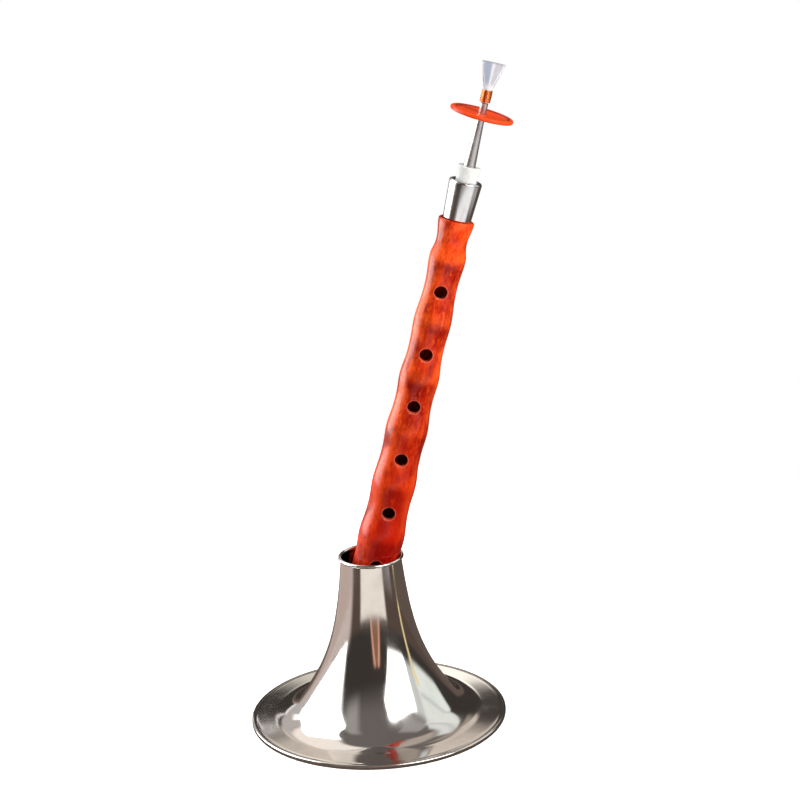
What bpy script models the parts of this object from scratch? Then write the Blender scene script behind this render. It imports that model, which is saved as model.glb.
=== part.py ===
"""A suona: a turned wooden pipe standing loose in its spun metal bell, with its reed on top.

The bell stands brim down. The pipe has dropped through the bell's neck, so its flared foot stands
inside the bell and the pipe leans on the rolled lip of the neck. On top of the pipe are the tuning
tube, the sleeve, the conical staple, the lip disc and the reed with its copper binding.

Lengths are in metres, +Z is up, and the origin is the middle of the footprint, on the floor.
"""

import math

import bmesh
import bpy
from mathutils import Matrix, Vector

MM = 0.001
GAP = 0.3 * MM                          # left between two pieces that touch

# The bell, spun from one sheet
BRIM_RADIUS = 68.0 * MM
BELL_HEIGHT = 91.5 * MM
BELL_WALL = 0.5 * MM
NECK_RADIUS = 15.9 * MM                 # outside of the neck, just under its lip
NECK_TAPER = 9.9 * MM                   # what the even taper adds to the radius down to the floor
FLARE_SPREAD = 25.8 * MM                # what the flare adds on top of that
FLARE_POWER = 3.2                       # a higher power keeps the neck slim for longer
BEND_HEIGHT = 10.0 * MM                 # where the flare turns out into the brim
BRIM_SLOPE = math.radians(3.0)
LIP_RADIUS = 0.95 * MM                  # the lip is rolled tight, so it is a solid bead
RIM_WIRE_RADIUS = 0.5 * MM              # the wire inside the brim's hem
HEM_FLAT = math.radians(22.5)           # half the angle of the hem that is pressed flat underneath
HEM_END = math.radians(-170.0)          # how far round the wire the hem is curled

# The wooden pipe, whose stations are measured up from its foot
PIPE_LENGTH = 274.0 * MM
PIPE_LEAN = math.radians(15.4)
PIPE_TOP_RADIUS = 7.65 * MM             # of the waists, at the top end
PIPE_FOOT_RADIUS = 13.3 * MM            # of the waists, at the foot without its flare
RIDGE_HEIGHT = 0.9 * MM
TOP_RIDGE_HEIGHT = 1.25 * MM            # of the ridge above the first hole
RIDGE_SHARPNESS = 1.3
TOP_RIM_RADIUS = 9.2 * MM
TOP_RIM_LENGTH = 11.5 * MM              # from the last waist up to the top end
TOP_RIDGE_LENGTH = 8.5 * MM             # from that waist down to the first ridge
TOP_EDGE = 0.8 * MM
FOOT_RADIUS = 16.2 * MM                 # wider than the neck, so the bell can't drop off
FOOT_FLARE = 24.0 * MM
FOOT_FLARE_POWER = 2.2
FOOT_EDGE = 1.5 * MM
BORE_TOP_RADIUS = 4.2 * MM
BORE_FOOT_RADIUS = 9.6 * MM

# Its finger holes, from the top down
FIRST_HOLE_DEPTH = 36.9 * MM            # below the pipe's top end
HOLE_PITCHES = tuple(MM * pitch for pitch in (33.4, 28.0, 29.1, 29.6, 29.8, 29.8))
HOLE_RADIUS = 3.4 * MM
HOLE_CHAMFER = 0.5 * MM

# The tuning tube, whose spigot slides in the pipe's socket
TUBE_HEIGHT = 20.1 * MM                 # above its shoulder
TUBE_FOOT_RADIUS = 7.3 * MM
TUBE_TOP_RADIUS = 8.4 * MM
TUBE_FLOOR = 1.6 * MM
TUBE_EDGE = 1.1 * MM
SPIGOT_RADIUS = 4.4 * MM
SPIGOT_LENGTH = 22.0 * MM
AIRWAY_RADIUS = 3.1 * MM
WRAP_THICKNESS = 0.8 * MM               # of the thread wound on the spigot
WRAP_LENGTH = 16.0 * MM

# The sleeve that seats the staple in the tuning tube
SLEEVE_RADIUS = 5.3 * MM
SLEEVE_TOP_RADIUS = 5.8 * MM
SLEEVE_LENGTH = 25.6 * MM

# The staple: a cone, then a straight stem, then the tip that holds the reed
STAPLE_BASE_RADIUS = 4.2 * MM
STAPLE_STEM_RADIUS = 2.0 * MM
STAPLE_TIP_RADIUS = 1.25 * MM
STAPLE_WALL = 0.4 * MM
STAPLE_CONE = 47.8 * MM
STAPLE_STEM = 9.5 * MM
STAPLE_TIP = 6.5 * MM
STAPLE_SEAT = 0.8 * MM                  # from the staple's base down to the sleeve's foot

# The lip disc, dished inside a raised rim, and loose enough on the stem to sit a little askew
DISC_RADIUS = 16.2 * MM
DISC_THICKNESS = 2.0 * MM
DISC_EDGE = 0.85 * MM
DISC_RIM = 2.2 * MM                     # width of the rim
DISC_DISH = 0.6 * MM                    # depth of the dish below the rim
DISC_HEIGHT = 51.7 * MM                 # its middle above the staple's base
DISC_TILT = math.radians(2.4)

# The reed: a small tube pressed flat into a fan, and the wire that binds its root
REED_WALL = 0.3 * MM
REED_BLADE = 13.8 * MM
REED_SHOULDER_HALF_WIDTH = 2.3 * MM
REED_TIP_HALF_WIDTH = 5.95 * MM
REED_TIP_HALF_DEPTH = 0.75 * MM
REED_NECK = 0.6 * MM                    # from the round root in the binding up to the shoulders
BINDING_HEIGHT = 6.7 * MM
BINDING_WIRE_RADIUS = 0.25 * MM
BINDING_SPACING = 0.42 * MM             # left between one turn and the next
BINDING_BULGE = 0.12 * MM

# How finely round things are divided
BELL_SEGMENTS = 48
PIPE_SEGMENTS = 32
HOLE_SEGMENTS = 16
TUBE_SEGMENTS = 28
STAPLE_SEGMENTS = 24
DISC_SEGMENTS = 40
REED_SEGMENTS = 20
WIRE_SEGMENTS = 6
TURN_SEGMENTS = 24

# Sizes that follow from the ones above
HEM_RADIUS = RIM_WIRE_RADIUS + GAP + BELL_WALL
HEM_CENTRE = Vector((BRIM_RADIUS - HEM_RADIUS, HEM_RADIUS * math.cos(HEM_FLAT)))
LIP_CENTRE = Vector((NECK_RADIUS - BELL_WALL + LIP_RADIUS, BELL_HEIGHT - LIP_RADIUS))
WRAP_INNER_RADIUS = SPIGOT_RADIUS + GAP
WRAP_RADIUS = WRAP_INNER_RADIUS + WRAP_THICKNESS
SOCKET_RADIUS = WRAP_RADIUS + GAP
SOCKET_DEPTH = SPIGOT_LENGTH + 2.0 * GAP
TUBE_BORE_RADIUS = SLEEVE_RADIUS + GAP
REED_ROOT_INNER = STAPLE_TIP_RADIUS + GAP
REED_ROOT_RADIUS = REED_ROOT_INNER + REED_WALL
DISC_BORE_RADIUS = STAPLE_STEM_RADIUS + GAP + 0.5 * DISC_THICKNESS * math.sin(DISC_TILT)

# Stations up the pipe's axis, from its foot
TUBE_STATION = PIPE_LENGTH + GAP
SLEEVE_STATION = TUBE_STATION + TUBE_FLOOR + GAP
STAPLE_STATION = SLEEVE_STATION + STAPLE_SEAT
DISC_STATION = STAPLE_STATION + DISC_HEIGHT
REED_STATION = STAPLE_STATION + STAPLE_CONE + STAPLE_STEM + GAP

FRONT_HOLES = tuple(PIPE_LENGTH - FIRST_HOLE_DEPTH - sum(HOLE_PITCHES[:count])
                    for count in range(len(HOLE_PITCHES) + 1))
THUMB_HOLE = 0.5 * (FRONT_HOLES[0] + FRONT_HOLES[1])
WAISTS = (PIPE_LENGTH - TOP_RIM_LENGTH,) + FRONT_HOLES
RIDGES = (WAISTS[0] - TOP_RIDGE_LENGTH,) + tuple(
    0.5 * (upper + lower) for upper, lower in zip(FRONT_HOLES, FRONT_HOLES[1:]))


def arc(centre, radius, start, end, steps):
    """Points of a circular arc, both ends included."""
    angles = (start + (end - start) * step / steps for step in range(steps + 1))
    return [Vector((centre[0] + radius * math.cos(a), centre[1] + radius * math.sin(a))) for a in angles]


def offset_line(points, distance):
    """The line that runs beside a line of points, to the right of its direction."""
    shifted = []
    for index, point in enumerate(points):
        before = (point - points[max(index - 1, 0)])
        after = (points[min(index + 1, len(points) - 1)] - point)
        directions = [edge.normalized() for edge in (before, after) if edge.length > 0.0]
        middle = sum(directions, Vector((0.0, 0.0))).normalized()
        mitre = distance / max(middle.dot(directions[0]), 0.5)
        shifted.append(point + Vector((middle.y, -middle.x)) * mitre)
    return shifted


def material(name, colour, roughness, metallic=0.0, transmission=0.0):
    """A plain Principled material."""
    made = bpy.data.materials.new(name)
    made.use_nodes = True
    shader = made.node_tree.nodes["Principled BSDF"]
    shader.inputs["Base Color"].default_value = (*colour, 1.0)
    shader.inputs["Roughness"].default_value = roughness
    shader.inputs["Metallic"].default_value = metallic
    shader.inputs["Transmission Weight"].default_value = transmission
    made.diffuse_color = (*colour, 1.0)
    return made


def add_object(name, data, parent, finish=None, height=0.0):
    """Put mesh or curve data in the scene, on the axis of its parent."""
    made = bpy.data.objects.new(name, data)
    bpy.context.collection.objects.link(made)
    made.parent = parent
    made.location.z = height
    if finish:
        data.materials.append(finish)
    return made


def add_axis(name, parent=None, location=(0.0, 0.0, 0.0), tilt=0.0):
    """An empty whose Z axis carries the pieces of one body, tilted about Y."""
    made = add_object(name, None, parent)
    made.location = location
    made.rotation_euler.y = tilt
    return made


def finish_mesh(name, bm):
    """Turn a bmesh into a mesh that faces outwards and is smooth except at its edges."""
    bmesh.ops.recalc_face_normals(bm, faces=bm.faces)
    mesh = bpy.data.meshes.new(name)
    bm.to_mesh(mesh)
    bm.free()
    mesh.shade_smooth()
    mesh.set_sharp_from_angle(angle=math.radians(35.0))
    return mesh


def turned(name, outline, segments, hollow=True):
    """Spin an outline of (radius, height) points about Z.

    A hollow piece has a closed outline, and a solid one an open outline that ends on the axis.
    """
    bm = bmesh.new()
    corners = [bm.verts.new((point[0], 0.0, point[1])) for point in outline]
    following = corners[1:] + corners[:1] if hollow else corners[1:]
    edges = [bm.edges.new(pair) for pair in zip(corners, following)]
    bmesh.ops.spin(bm, geom=corners + edges, cent=(0.0, 0.0, 0.0), axis=(0.0, 0.0, 1.0),
                   angle=math.tau, steps=segments, use_merge=True)
    bmesh.ops.remove_doubles(bm, verts=bm.verts, dist=0.001 * MM)
    return finish_mesh(name, bm)


def lofted(name, rings):
    """Skin a closed sequence of rings that have as many points each."""
    bm = bmesh.new()
    loops = [[bm.verts.new(point) for point in ring] for ring in rings]
    for lower, upper in zip(loops, loops[1:] + loops[:1]):
        for here in range(len(lower)):
            ahead = (here + 1) % len(lower)
            bm.faces.new((lower[here], lower[ahead], upper[ahead], upper[here]))
    return finish_mesh(name, bm)


def flare_radius(height):
    """Outside radius of the bell between its bend and its neck."""
    fall = (LIP_CENTRE.y - height) / LIP_CENTRE.y
    return NECK_RADIUS + NECK_TAPER * fall + FLARE_SPREAD * fall ** FLARE_POWER


def flare_direction(height):
    """Direction of the bell's outer line there, on its way down."""
    fall = (LIP_CENTRE.y - height) / LIP_CENTRE.y
    spread = NECK_TAPER + FLARE_POWER * FLARE_SPREAD * fall ** (FLARE_POWER - 1.0)
    return Vector((spread, -LIP_CENTRE.y)).normalized()


def brim_bend(steps):
    """The arc that is tangent to the flare above and to the sloping brim below."""
    start = Vector((flare_radius(BEND_HEIGHT), BEND_HEIGHT))
    down = flare_direction(BEND_HEIGHT)
    out = Vector((math.cos(BRIM_SLOPE), -math.sin(BRIM_SLOPE)))
    brim_edge = HEM_CENTRE + HEM_RADIUS * Vector((math.sin(BRIM_SLOPE), math.cos(BRIM_SLOPE)))
    across = Vector((-out.y, out.x))
    tangent = (brim_edge - start).dot(across) / down.dot(across)
    turn = down.angle(out)
    radius = tangent / math.tan(0.5 * turn)
    centre = start + radius * Vector((-down.y, down.x))
    first = math.atan2(start.y - centre.y, start.x - centre.x)
    return arc(centre, radius, first, first + turn, steps), brim_edge


def bell_outline():
    """Section of the bell's sheet, from its lip down the outside and back up the inside."""
    rows = 10
    top = LIP_CENTRE.y - 1.2 * LIP_RADIUS
    heights = [top + (BEND_HEIGHT - top) * row / rows for row in range(rows)]
    flare = [Vector((flare_radius(height), height)) for height in heights]
    bend, brim_edge = brim_bend(steps=4)
    outer_curl = arc(HEM_CENTRE, HEM_RADIUS, 0.5 * math.pi - BRIM_SLOPE, HEM_FLAT - 0.5 * math.pi, 4)
    inner_curl = arc(HEM_CENTRE, HEM_RADIUS, -0.5 * math.pi - HEM_FLAT, HEM_END, 2)
    outside = flare + bend + [bend[-1].lerp(brim_edge, 0.5)] + outer_curl + inner_curl
    inside = offset_line(outside, BELL_WALL)
    lip = arc(LIP_CENTRE, LIP_RADIUS, math.pi, math.radians(-55.0), 8)
    neck = [Vector((NECK_RADIUS - BELL_WALL, LIP_CENTRE.y - LIP_RADIUS))]
    return outside + inside[::-1] + neck + lip


def waist_radius(station):
    """Radius of the pipe's plain cone, without its ridges."""
    return PIPE_FOOT_RADIUS + (PIPE_TOP_RADIUS - PIPE_FOOT_RADIUS) * station / PIPE_LENGTH


def ridge_swell(station):
    """How much the bamboo-like ridges add to the cone: nothing at a waist, and most at a crest."""
    for crest, upper, lower in zip(RIDGES, WAISTS, WAISTS[1:]):
        if lower <= station <= upper:
            limit = upper if station > crest else lower
            share = (station - crest) / (limit - crest)
            height = TOP_RIDGE_HEIGHT if crest == RIDGES[0] else RIDGE_HEIGHT
            return height * (0.5 + 0.5 * math.cos(math.pi * share)) ** RIDGE_SHARPNESS
    return 0.0


def pipe_radius(station):
    """Outside radius of the wooden pipe at a station."""
    radius = waist_radius(station) + ridge_swell(station)
    if station > WAISTS[0]:
        share = (station - WAISTS[0]) / TOP_RIM_LENGTH
        radius += (TOP_RIM_RADIUS - waist_radius(PIPE_LENGTH)) * math.sin(0.5 * math.pi * share) ** 2
    if station < FOOT_FLARE:
        share = 1.0 - station / FOOT_FLARE
        radius += (FOOT_RADIUS - PIPE_FOOT_RADIUS) * share ** FOOT_FLARE_POWER
    return radius


def bore_radius(station):
    """Radius of the pipe's conical bore at a station."""
    return BORE_FOOT_RADIUS + (BORE_TOP_RADIUS - BORE_FOOT_RADIUS) * station / PIPE_LENGTH


def pipe_outline():
    """Section of the pipe: outside down to the foot, then up the bore to the socket."""
    top_edge = arc((pipe_radius(PIPE_LENGTH) - TOP_EDGE, PIPE_LENGTH - TOP_EDGE), TOP_EDGE,
                   0.5 * math.pi, 0.0, 2)
    foot_edge = arc((FOOT_RADIUS - FOOT_EDGE, FOOT_EDGE), FOOT_EDGE, 0.0, -0.5 * math.pi, 3)
    knots = [PIPE_LENGTH - TOP_EDGE]
    for waist, ridge in zip(WAISTS, RIDGES):
        knots += [waist, ridge]
    knots += [WAISTS[-1], FOOT_FLARE]
    stations = []
    for upper, lower in zip(knots, knots[1:]):
        steps = 3 if upper - lower < 2.0 * TOP_RIM_LENGTH else 2
        stations += [upper + (lower - upper) * step / steps for step in range(1, steps + 1)]
    flare_steps = 5
    stations += [FOOT_FLARE + (FOOT_EDGE - FOOT_FLARE) * step / flare_steps
                 for step in range(1, flare_steps)]
    outside = [Vector((pipe_radius(station), station)) for station in stations]
    socket_floor = PIPE_LENGTH - SOCKET_DEPTH
    bore = [Vector((bore_radius(station), station)) for station in (0.0, socket_floor)]
    socket = [Vector((SOCKET_RADIUS, socket_floor)), Vector((SOCKET_RADIUS, PIPE_LENGTH))]
    return top_edge + outside + foot_edge + bore + socket


def hole_cutter(name, pipe, station, side):
    """A drill with a countersink, which cuts one finger hole from the outside into the bore.

    It is turned by half a facet, so none of its corners runs along a corner of the pipe.
    """
    rim = pipe_radius(station) - HOLE_CHAMFER
    beyond = pipe_radius(station) + 3.0 * HOLE_CHAMFER
    outline = ((0.0, beyond), (HOLE_RADIUS + beyond - rim, beyond), (HOLE_RADIUS, rim), (HOLE_RADIUS, 0.0),
               (0.0, 0.0))
    drill = turned(name, outline, HOLE_SEGMENTS, hollow=False)
    drill.transform(Matrix.Rotation(math.pi / HOLE_SEGMENTS, 4, 'Z'))
    cutter = add_object(name, drill, pipe, height=station)
    cutter.rotation_euler.x = side * 0.5 * math.pi
    cutter.hide_render = True
    cutter.display_type = 'WIRE'
    cut = pipe.modifiers.new(name, 'BOOLEAN')
    cut.operation = 'DIFFERENCE'
    cut.object = cutter


def tube_outline():
    """Section of the tuning tube: a flared barrel with a round mouth, on a narrower spigot."""
    mouth = arc((TUBE_TOP_RADIUS - TUBE_EDGE, TUBE_HEIGHT - TUBE_EDGE), TUBE_EDGE, 0.5 * math.pi, 0.0, 3)
    barrel = [Vector((TUBE_FOOT_RADIUS, 0.5 * TUBE_EDGE)), Vector((TUBE_FOOT_RADIUS - 0.5 * TUBE_EDGE, 0.0))]
    spigot = [Vector((SPIGOT_RADIUS, 0.0)), Vector((SPIGOT_RADIUS, -SPIGOT_LENGTH)),
              Vector((AIRWAY_RADIUS, -SPIGOT_LENGTH)), Vector((AIRWAY_RADIUS, TUBE_FLOOR))]
    cavity = [Vector((TUBE_BORE_RADIUS, TUBE_FLOOR)), Vector((TUBE_BORE_RADIUS, TUBE_HEIGHT - GAP)),
              Vector((TUBE_BORE_RADIUS + GAP, TUBE_HEIGHT))]
    return mouth + barrel + spigot + cavity


def wrap_outline():
    """Section of the thread wound on the spigot, a little rounded at both ends."""
    top = -0.5 * (SPIGOT_LENGTH - WRAP_LENGTH)
    bottom = top - WRAP_LENGTH
    chamfer = 0.4 * WRAP_THICKNESS
    return [Vector(point) for point in (
        (WRAP_INNER_RADIUS, top), (WRAP_RADIUS - chamfer, top), (WRAP_RADIUS, top - chamfer),
        (WRAP_RADIUS, bottom + chamfer), (WRAP_RADIUS - chamfer, bottom), (WRAP_INNER_RADIUS, bottom))]


def staple_radius(height):
    """Outside radius of the staple's cone or stem at a height above its base."""
    share = min(max(height / STAPLE_CONE, 0.0), 1.0)
    return STAPLE_BASE_RADIUS + (STAPLE_STEM_RADIUS - STAPLE_BASE_RADIUS) * share


def staple_outline():
    """Section of the staple's thin tube."""
    stem_top = STAPLE_CONE + STAPLE_STEM
    tip_top = stem_top + STAPLE_TIP
    outside = [Vector(point) for point in (
        (STAPLE_TIP_RADIUS, tip_top), (STAPLE_TIP_RADIUS, stem_top + STAPLE_WALL),
        (STAPLE_STEM_RADIUS, stem_top), (STAPLE_STEM_RADIUS, STAPLE_CONE),
        (staple_radius(0.5 * STAPLE_CONE), 0.5 * STAPLE_CONE), (STAPLE_BASE_RADIUS, 0.0))]
    inside = [Vector(point) for point in (
        (STAPLE_BASE_RADIUS - STAPLE_WALL, 0.0), (STAPLE_TIP_RADIUS - STAPLE_WALL, stem_top),
        (STAPLE_TIP_RADIUS - STAPLE_WALL, tip_top))]
    return outside + inside


def sleeve_outline():
    """Section of the sleeve, whose bore follows the staple and whose top spreads a little."""
    foot = -STAPLE_SEAT
    top = foot + SLEEVE_LENGTH
    mouth = TUBE_STATION + TUBE_HEIGHT - STAPLE_STATION
    edge = 0.3 * (SLEEVE_TOP_RADIUS - staple_radius(top) - GAP)
    outside = [Vector(point) for point in (
        (SLEEVE_TOP_RADIUS - edge, top), (SLEEVE_TOP_RADIUS, top - edge),
        (SLEEVE_RADIUS, mouth), (SLEEVE_RADIUS, foot))]
    inside = [Vector((staple_radius(height) + GAP, height)) for height in (foot, mouth, top)]
    return outside + inside


def disc_outline():
    """Section of the lip disc, with a rounded rim, a dished upper side and a clear bore."""
    half = 0.5 * DISC_THICKNESS
    floor = half - DISC_DISH
    rim = DISC_RADIUS - DISC_RIM
    upper = arc((DISC_RADIUS - DISC_EDGE, half - DISC_EDGE), DISC_EDGE, 0.5 * math.pi, 0.0, 3)
    lower = arc((DISC_RADIUS - DISC_EDGE, DISC_EDGE - half), DISC_EDGE, 0.0, -0.5 * math.pi, 3)
    return upper + lower + [Vector(point) for point in (
        (DISC_BORE_RADIUS, -half), (DISC_BORE_RADIUS, floor), (rim - DISC_DISH, floor), (rim, half))]


def reed_ring(height, inner):
    """One ring of the reed: round at its root and a lens with a keel down each face at its tip."""
    above = height - BINDING_HEIGHT
    neck = min(max(above / REED_NECK, 0.0), 1.0)
    blade = min(max((above - REED_NECK) / (REED_BLADE - REED_NECK), 0.0), 1.0)
    wall = REED_WALL if inner else 0.0
    half_width = (REED_ROOT_RADIUS + (REED_SHOULDER_HALF_WIDTH - REED_ROOT_RADIUS) * neck
                  + (REED_TIP_HALF_WIDTH - REED_SHOULDER_HALF_WIDTH) * blade ** 0.85 - wall * (1.0 + blade))
    half_depth = REED_ROOT_RADIUS + (REED_TIP_HALF_DEPTH - REED_ROOT_RADIUS) * math.sqrt(blade) - wall
    ring = []
    for step in range(REED_SEGMENTS):
        angle = math.tau * step / REED_SEGMENTS
        across = math.cos(angle)
        lens = math.copysign(1.0 - abs(across) ** 1.3, math.sin(angle))
        depth = half_depth * (math.sin(angle) * (1.0 - blade) + lens * blade)
        ring.append((half_width * across, depth, height))
    return ring


def reed_rings():
    """Rings of the reed, up its outside and down its inside."""
    top = BINDING_HEIGHT + REED_BLADE
    blade_rows = 7
    start = BINDING_HEIGHT + REED_NECK
    heights = [0.0, BINDING_HEIGHT]
    heights += [start + (top - start) * row / blade_rows for row in range(blade_rows + 1)]
    outside = [reed_ring(height, False) for height in heights]
    return outside + [reed_ring(height, True) for height in heights[::-1]]


def binding_points():
    """Centre line of the copper wire: even turns up the reed's root, with a straight run at each end."""
    pitch = 2.0 * BINDING_WIRE_RADIUS + BINDING_SPACING
    turns = int((BINDING_HEIGHT - 2.0 * BINDING_WIRE_RADIUS) / pitch)
    first = 0.5 * (BINDING_HEIGHT - turns * pitch)
    steps = turns * TURN_SEGMENTS
    points = []
    for step in range(steps + 1):
        share = step / steps
        angle = math.tau * step / TURN_SEGMENTS
        radius = (REED_ROOT_RADIUS + GAP + BINDING_WIRE_RADIUS
                  + BINDING_BULGE * math.sin(math.pi * share))
        height = first + turns * pitch * share
        points.append(Vector((radius * math.cos(angle), radius * math.sin(angle), height)))
    tail = 2.0 * BINDING_WIRE_RADIUS
    start = points[0] + (points[0] - points[1]).normalized() * tail
    end = points[-1] + (points[-1] - points[-2]).normalized() * tail
    return [start] + points + [end]


def least_gap(points, radius):
    """Least clear distance between parts of a wound wire that are half a turn or more apart."""
    apart = TURN_SEGMENTS // 2
    nearest = min((points[i] - points[j]).length
                  for i in range(len(points)) for j in range(i + apart, len(points)))
    return nearest - 2.0 * radius


def wire_curve(name, points, radius):
    """A round wire along a line of points, closed at both ends."""
    curve = bpy.data.curves.new(name, 'CURVE')
    curve.dimensions = '3D'
    curve.render_resolution_u = 0
    curve.bevel_depth = radius
    curve.bevel_resolution = 1
    curve.use_fill_caps = True
    spline = curve.splines.new('POLY')
    spline.points.add(len(points) - 1)
    for slot, point in zip(spline.points, points):
        slot.co = (*point, 1.0)
    return curve


def seat_pipe():
    """Where the leaning pipe rests: its axis beside the neck's middle, and its foot along that axis.

    Both are measured from the middle of the neck's lip, in a frame that leans with the pipe. The side
    of the pipe lies against the lip, and the lowest point of its foot against the floor.
    """
    lean_sin, lean_cos = math.sin(PIPE_LEAN), math.cos(PIPE_LEAN)
    reach = LIP_RADIUS + GAP
    side, foot = 0.0, -LIP_CENTRE.y / lean_cos
    for _ in range(6):
        contact = LIP_CENTRE.x * lean_sin - foot
        samples = [reach * share / 10.0 for share in range(-10, 11)]
        side = LIP_CENTRE.x * lean_cos - max(
            math.sqrt(reach ** 2 - along ** 2) + pipe_radius(contact + along) for along in samples)
        drop = (side + FOOT_RADIUS - FOOT_EDGE) * lean_sin + GAP + FOOT_EDGE - LIP_CENTRE.y
        foot = drop / lean_cos - FOOT_EDGE
    return side, foot


def footprint_middle(side, foot):
    """How far the middle of the object's width lies from the bell's axis."""
    lean = PIPE_LEAN + DISC_TILT
    disc_middle = side * math.cos(PIPE_LEAN) + (foot + DISC_STATION) * math.sin(PIPE_LEAN)
    disc_edge = ((DISC_RADIUS - DISC_EDGE) * math.cos(lean)
                 + (0.5 * DISC_THICKNESS - DISC_EDGE) * math.sin(lean))
    return 0.5 * (disc_middle + disc_edge + DISC_EDGE - BRIM_RADIUS)


def build():
    """Make every piece of the suona, each on the axis that carries it."""
    for old in list(bpy.data.objects):
        bpy.data.objects.remove(old)

    nickel = material("polished_nickel", (0.72, 0.70, 0.68), 0.12, metallic=1.0)
    steel = material("steel_wire", (0.45, 0.44, 0.43), 0.4, metallic=1.0)
    wood = material("red_lacquered_wood", (0.62, 0.07, 0.015), 0.3)
    thread = material("waxed_thread", (0.75, 0.68, 0.52), 0.8)
    silver = material("satin_silver", (0.62, 0.62, 0.63), 0.25, metallic=1.0)
    clear = material("milky_plastic", (0.86, 0.88, 0.89), 0.35, transmission=0.4)
    red = material("red_plastic", (0.80, 0.09, 0.02), 0.25)
    film = material("reed_plastic", (0.80, 0.84, 0.90), 0.3, transmission=0.5)
    copper = material("copper_wire", (0.85, 0.36, 0.14), 0.25, metallic=1.0)

    side, foot = seat_pipe()
    bell = add_axis("bell_axis", location=(-footprint_middle(side, foot), 0.0, 0.0))
    add_object("bell_shell", turned("bell_shell", bell_outline(), BELL_SEGMENTS), bell, nickel)
    wire = arc(HEM_CENTRE, RIM_WIRE_RADIUS, 0.0, math.tau, WIRE_SEGMENTS)[:-1]
    add_object("brim_wire", turned("brim_wire", wire, BELL_SEGMENTS), bell, steel)

    tilt = add_axis("pipe_tilt_axis", bell, (0.0, 0.0, LIP_CENTRE.y), PIPE_LEAN)
    pipe = add_object("wooden_pipe", turned("wooden_pipe", pipe_outline(), PIPE_SEGMENTS), tilt, wood, foot)
    pipe.location.x = side
    for number, station in enumerate(FRONT_HOLES, start=1):
        hole_cutter(f"finger_hole_{number}", pipe, station, 1.0)
    hole_cutter("thumb_hole", pipe, THUMB_HOLE, -1.0)

    tuning = add_axis("tuning_axis", tilt, (side, 0.0, foot + TUBE_STATION))
    add_object("tuning_tube", turned("tuning_tube", tube_outline(), TUBE_SEGMENTS), tuning, silver)
    add_object("thread_wrap", turned("thread_wrap", wrap_outline(), TUBE_SEGMENTS), tuning, thread)

    staple = add_axis("staple_axis", tuning, (0.0, 0.0, STAPLE_STATION - TUBE_STATION))
    add_object("staple", turned("staple", staple_outline(), STAPLE_SEGMENTS), staple, silver)
    add_object("staple_sleeve", turned("staple_sleeve", sleeve_outline(), STAPLE_SEGMENTS), staple, clear)

    disc = add_axis("disc_axis", staple, (0.0, 0.0, DISC_HEIGHT), DISC_TILT)
    add_object("lip_disc", turned("lip_disc", disc_outline(), DISC_SEGMENTS), disc, red)

    reed = add_axis("reed_axis", staple, (0.0, 0.0, REED_STATION - STAPLE_STATION))
    add_object("reed", lofted("reed", reed_rings()), reed, film)
    points = binding_points()
    print(f"least gap between turns of the binding: {least_gap(points, BINDING_WIRE_RADIUS) / MM:.3f} mm")
    add_object("reed_binding", wire_curve("reed_binding", points, BINDING_WIRE_RADIUS), reed, copper)


build()
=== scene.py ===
"""A suona in a plain studio: the finished surfaces, materials, light and camera round its CAD frame.

Lengths are in metres. Every piece is built in its own frame, with Z along its axis and its lowest
point at the origin, and is then set on the place that the CAD node of the same name has.
"""

import logging
import math
from dataclasses import dataclass, field
from enum import Enum
from typing import Callable, Iterable, Sequence

import bmesh
import bpy
from mathutils import Matrix, Vector

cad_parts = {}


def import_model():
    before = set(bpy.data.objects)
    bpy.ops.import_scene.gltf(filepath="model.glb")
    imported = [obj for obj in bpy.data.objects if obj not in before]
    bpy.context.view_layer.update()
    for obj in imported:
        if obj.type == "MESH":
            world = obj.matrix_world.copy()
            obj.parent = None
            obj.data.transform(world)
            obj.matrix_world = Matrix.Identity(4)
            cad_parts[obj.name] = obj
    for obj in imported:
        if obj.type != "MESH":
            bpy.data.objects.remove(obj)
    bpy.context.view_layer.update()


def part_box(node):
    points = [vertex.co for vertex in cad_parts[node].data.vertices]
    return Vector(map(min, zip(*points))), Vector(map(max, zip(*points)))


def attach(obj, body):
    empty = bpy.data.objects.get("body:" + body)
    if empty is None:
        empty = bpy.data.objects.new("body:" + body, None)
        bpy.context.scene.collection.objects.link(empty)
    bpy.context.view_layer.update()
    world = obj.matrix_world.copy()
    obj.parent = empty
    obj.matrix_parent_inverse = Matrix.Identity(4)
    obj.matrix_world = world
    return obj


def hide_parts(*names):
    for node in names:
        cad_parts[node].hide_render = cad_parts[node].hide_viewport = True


LOG = logging.getLogger("suona")
MM = 0.001
PIPE_LEAN = math.radians(15.4)
DISC_TILT = math.radians(2.4)

Point = Vector
Colour = tuple[float, float, float]


class Body(Enum):
    """The CAD bodies that the pieces ride on."""

    BELL = "bell"
    PIPE = "pipe"
    TUNING = "tuning"
    STAPLE = "staple"
    DISC = "disc"
    REED = "reed"


@dataclass(frozen=True)
class BellSizes:
    """The spun bell, in metres."""

    wall: float = 0.5 * MM
    neck_radius: float = 15.9 * MM
    neck_taper: float = 9.9 * MM
    flare_spread: float = 25.8 * MM
    flare_power: float = 3.2
    bend_height: float = 10.0 * MM
    brim_slope: float = math.radians(3.0)
    lip_radius: float = 0.95 * MM
    wire_radius: float = 0.5 * MM
    hem_room: float = 0.3 * MM
    hem_flat: float = math.radians(22.5)
    hem_end: float = math.radians(-170.0)
    hem_squareness: float = 3.2
    groove: tuple[tuple[float, float], ...] = tuple((MM * aside, MM * rise) for aside, rise in (
        (2.2, 0.0), (1.9, -0.01), (1.6, -0.04), (1.35, -0.08), (1.12, -0.09), (0.92, -0.075), (0.72, -0.045),
        (0.5, -0.02), (0.25, -0.005)))
    segments: int = 320


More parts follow.
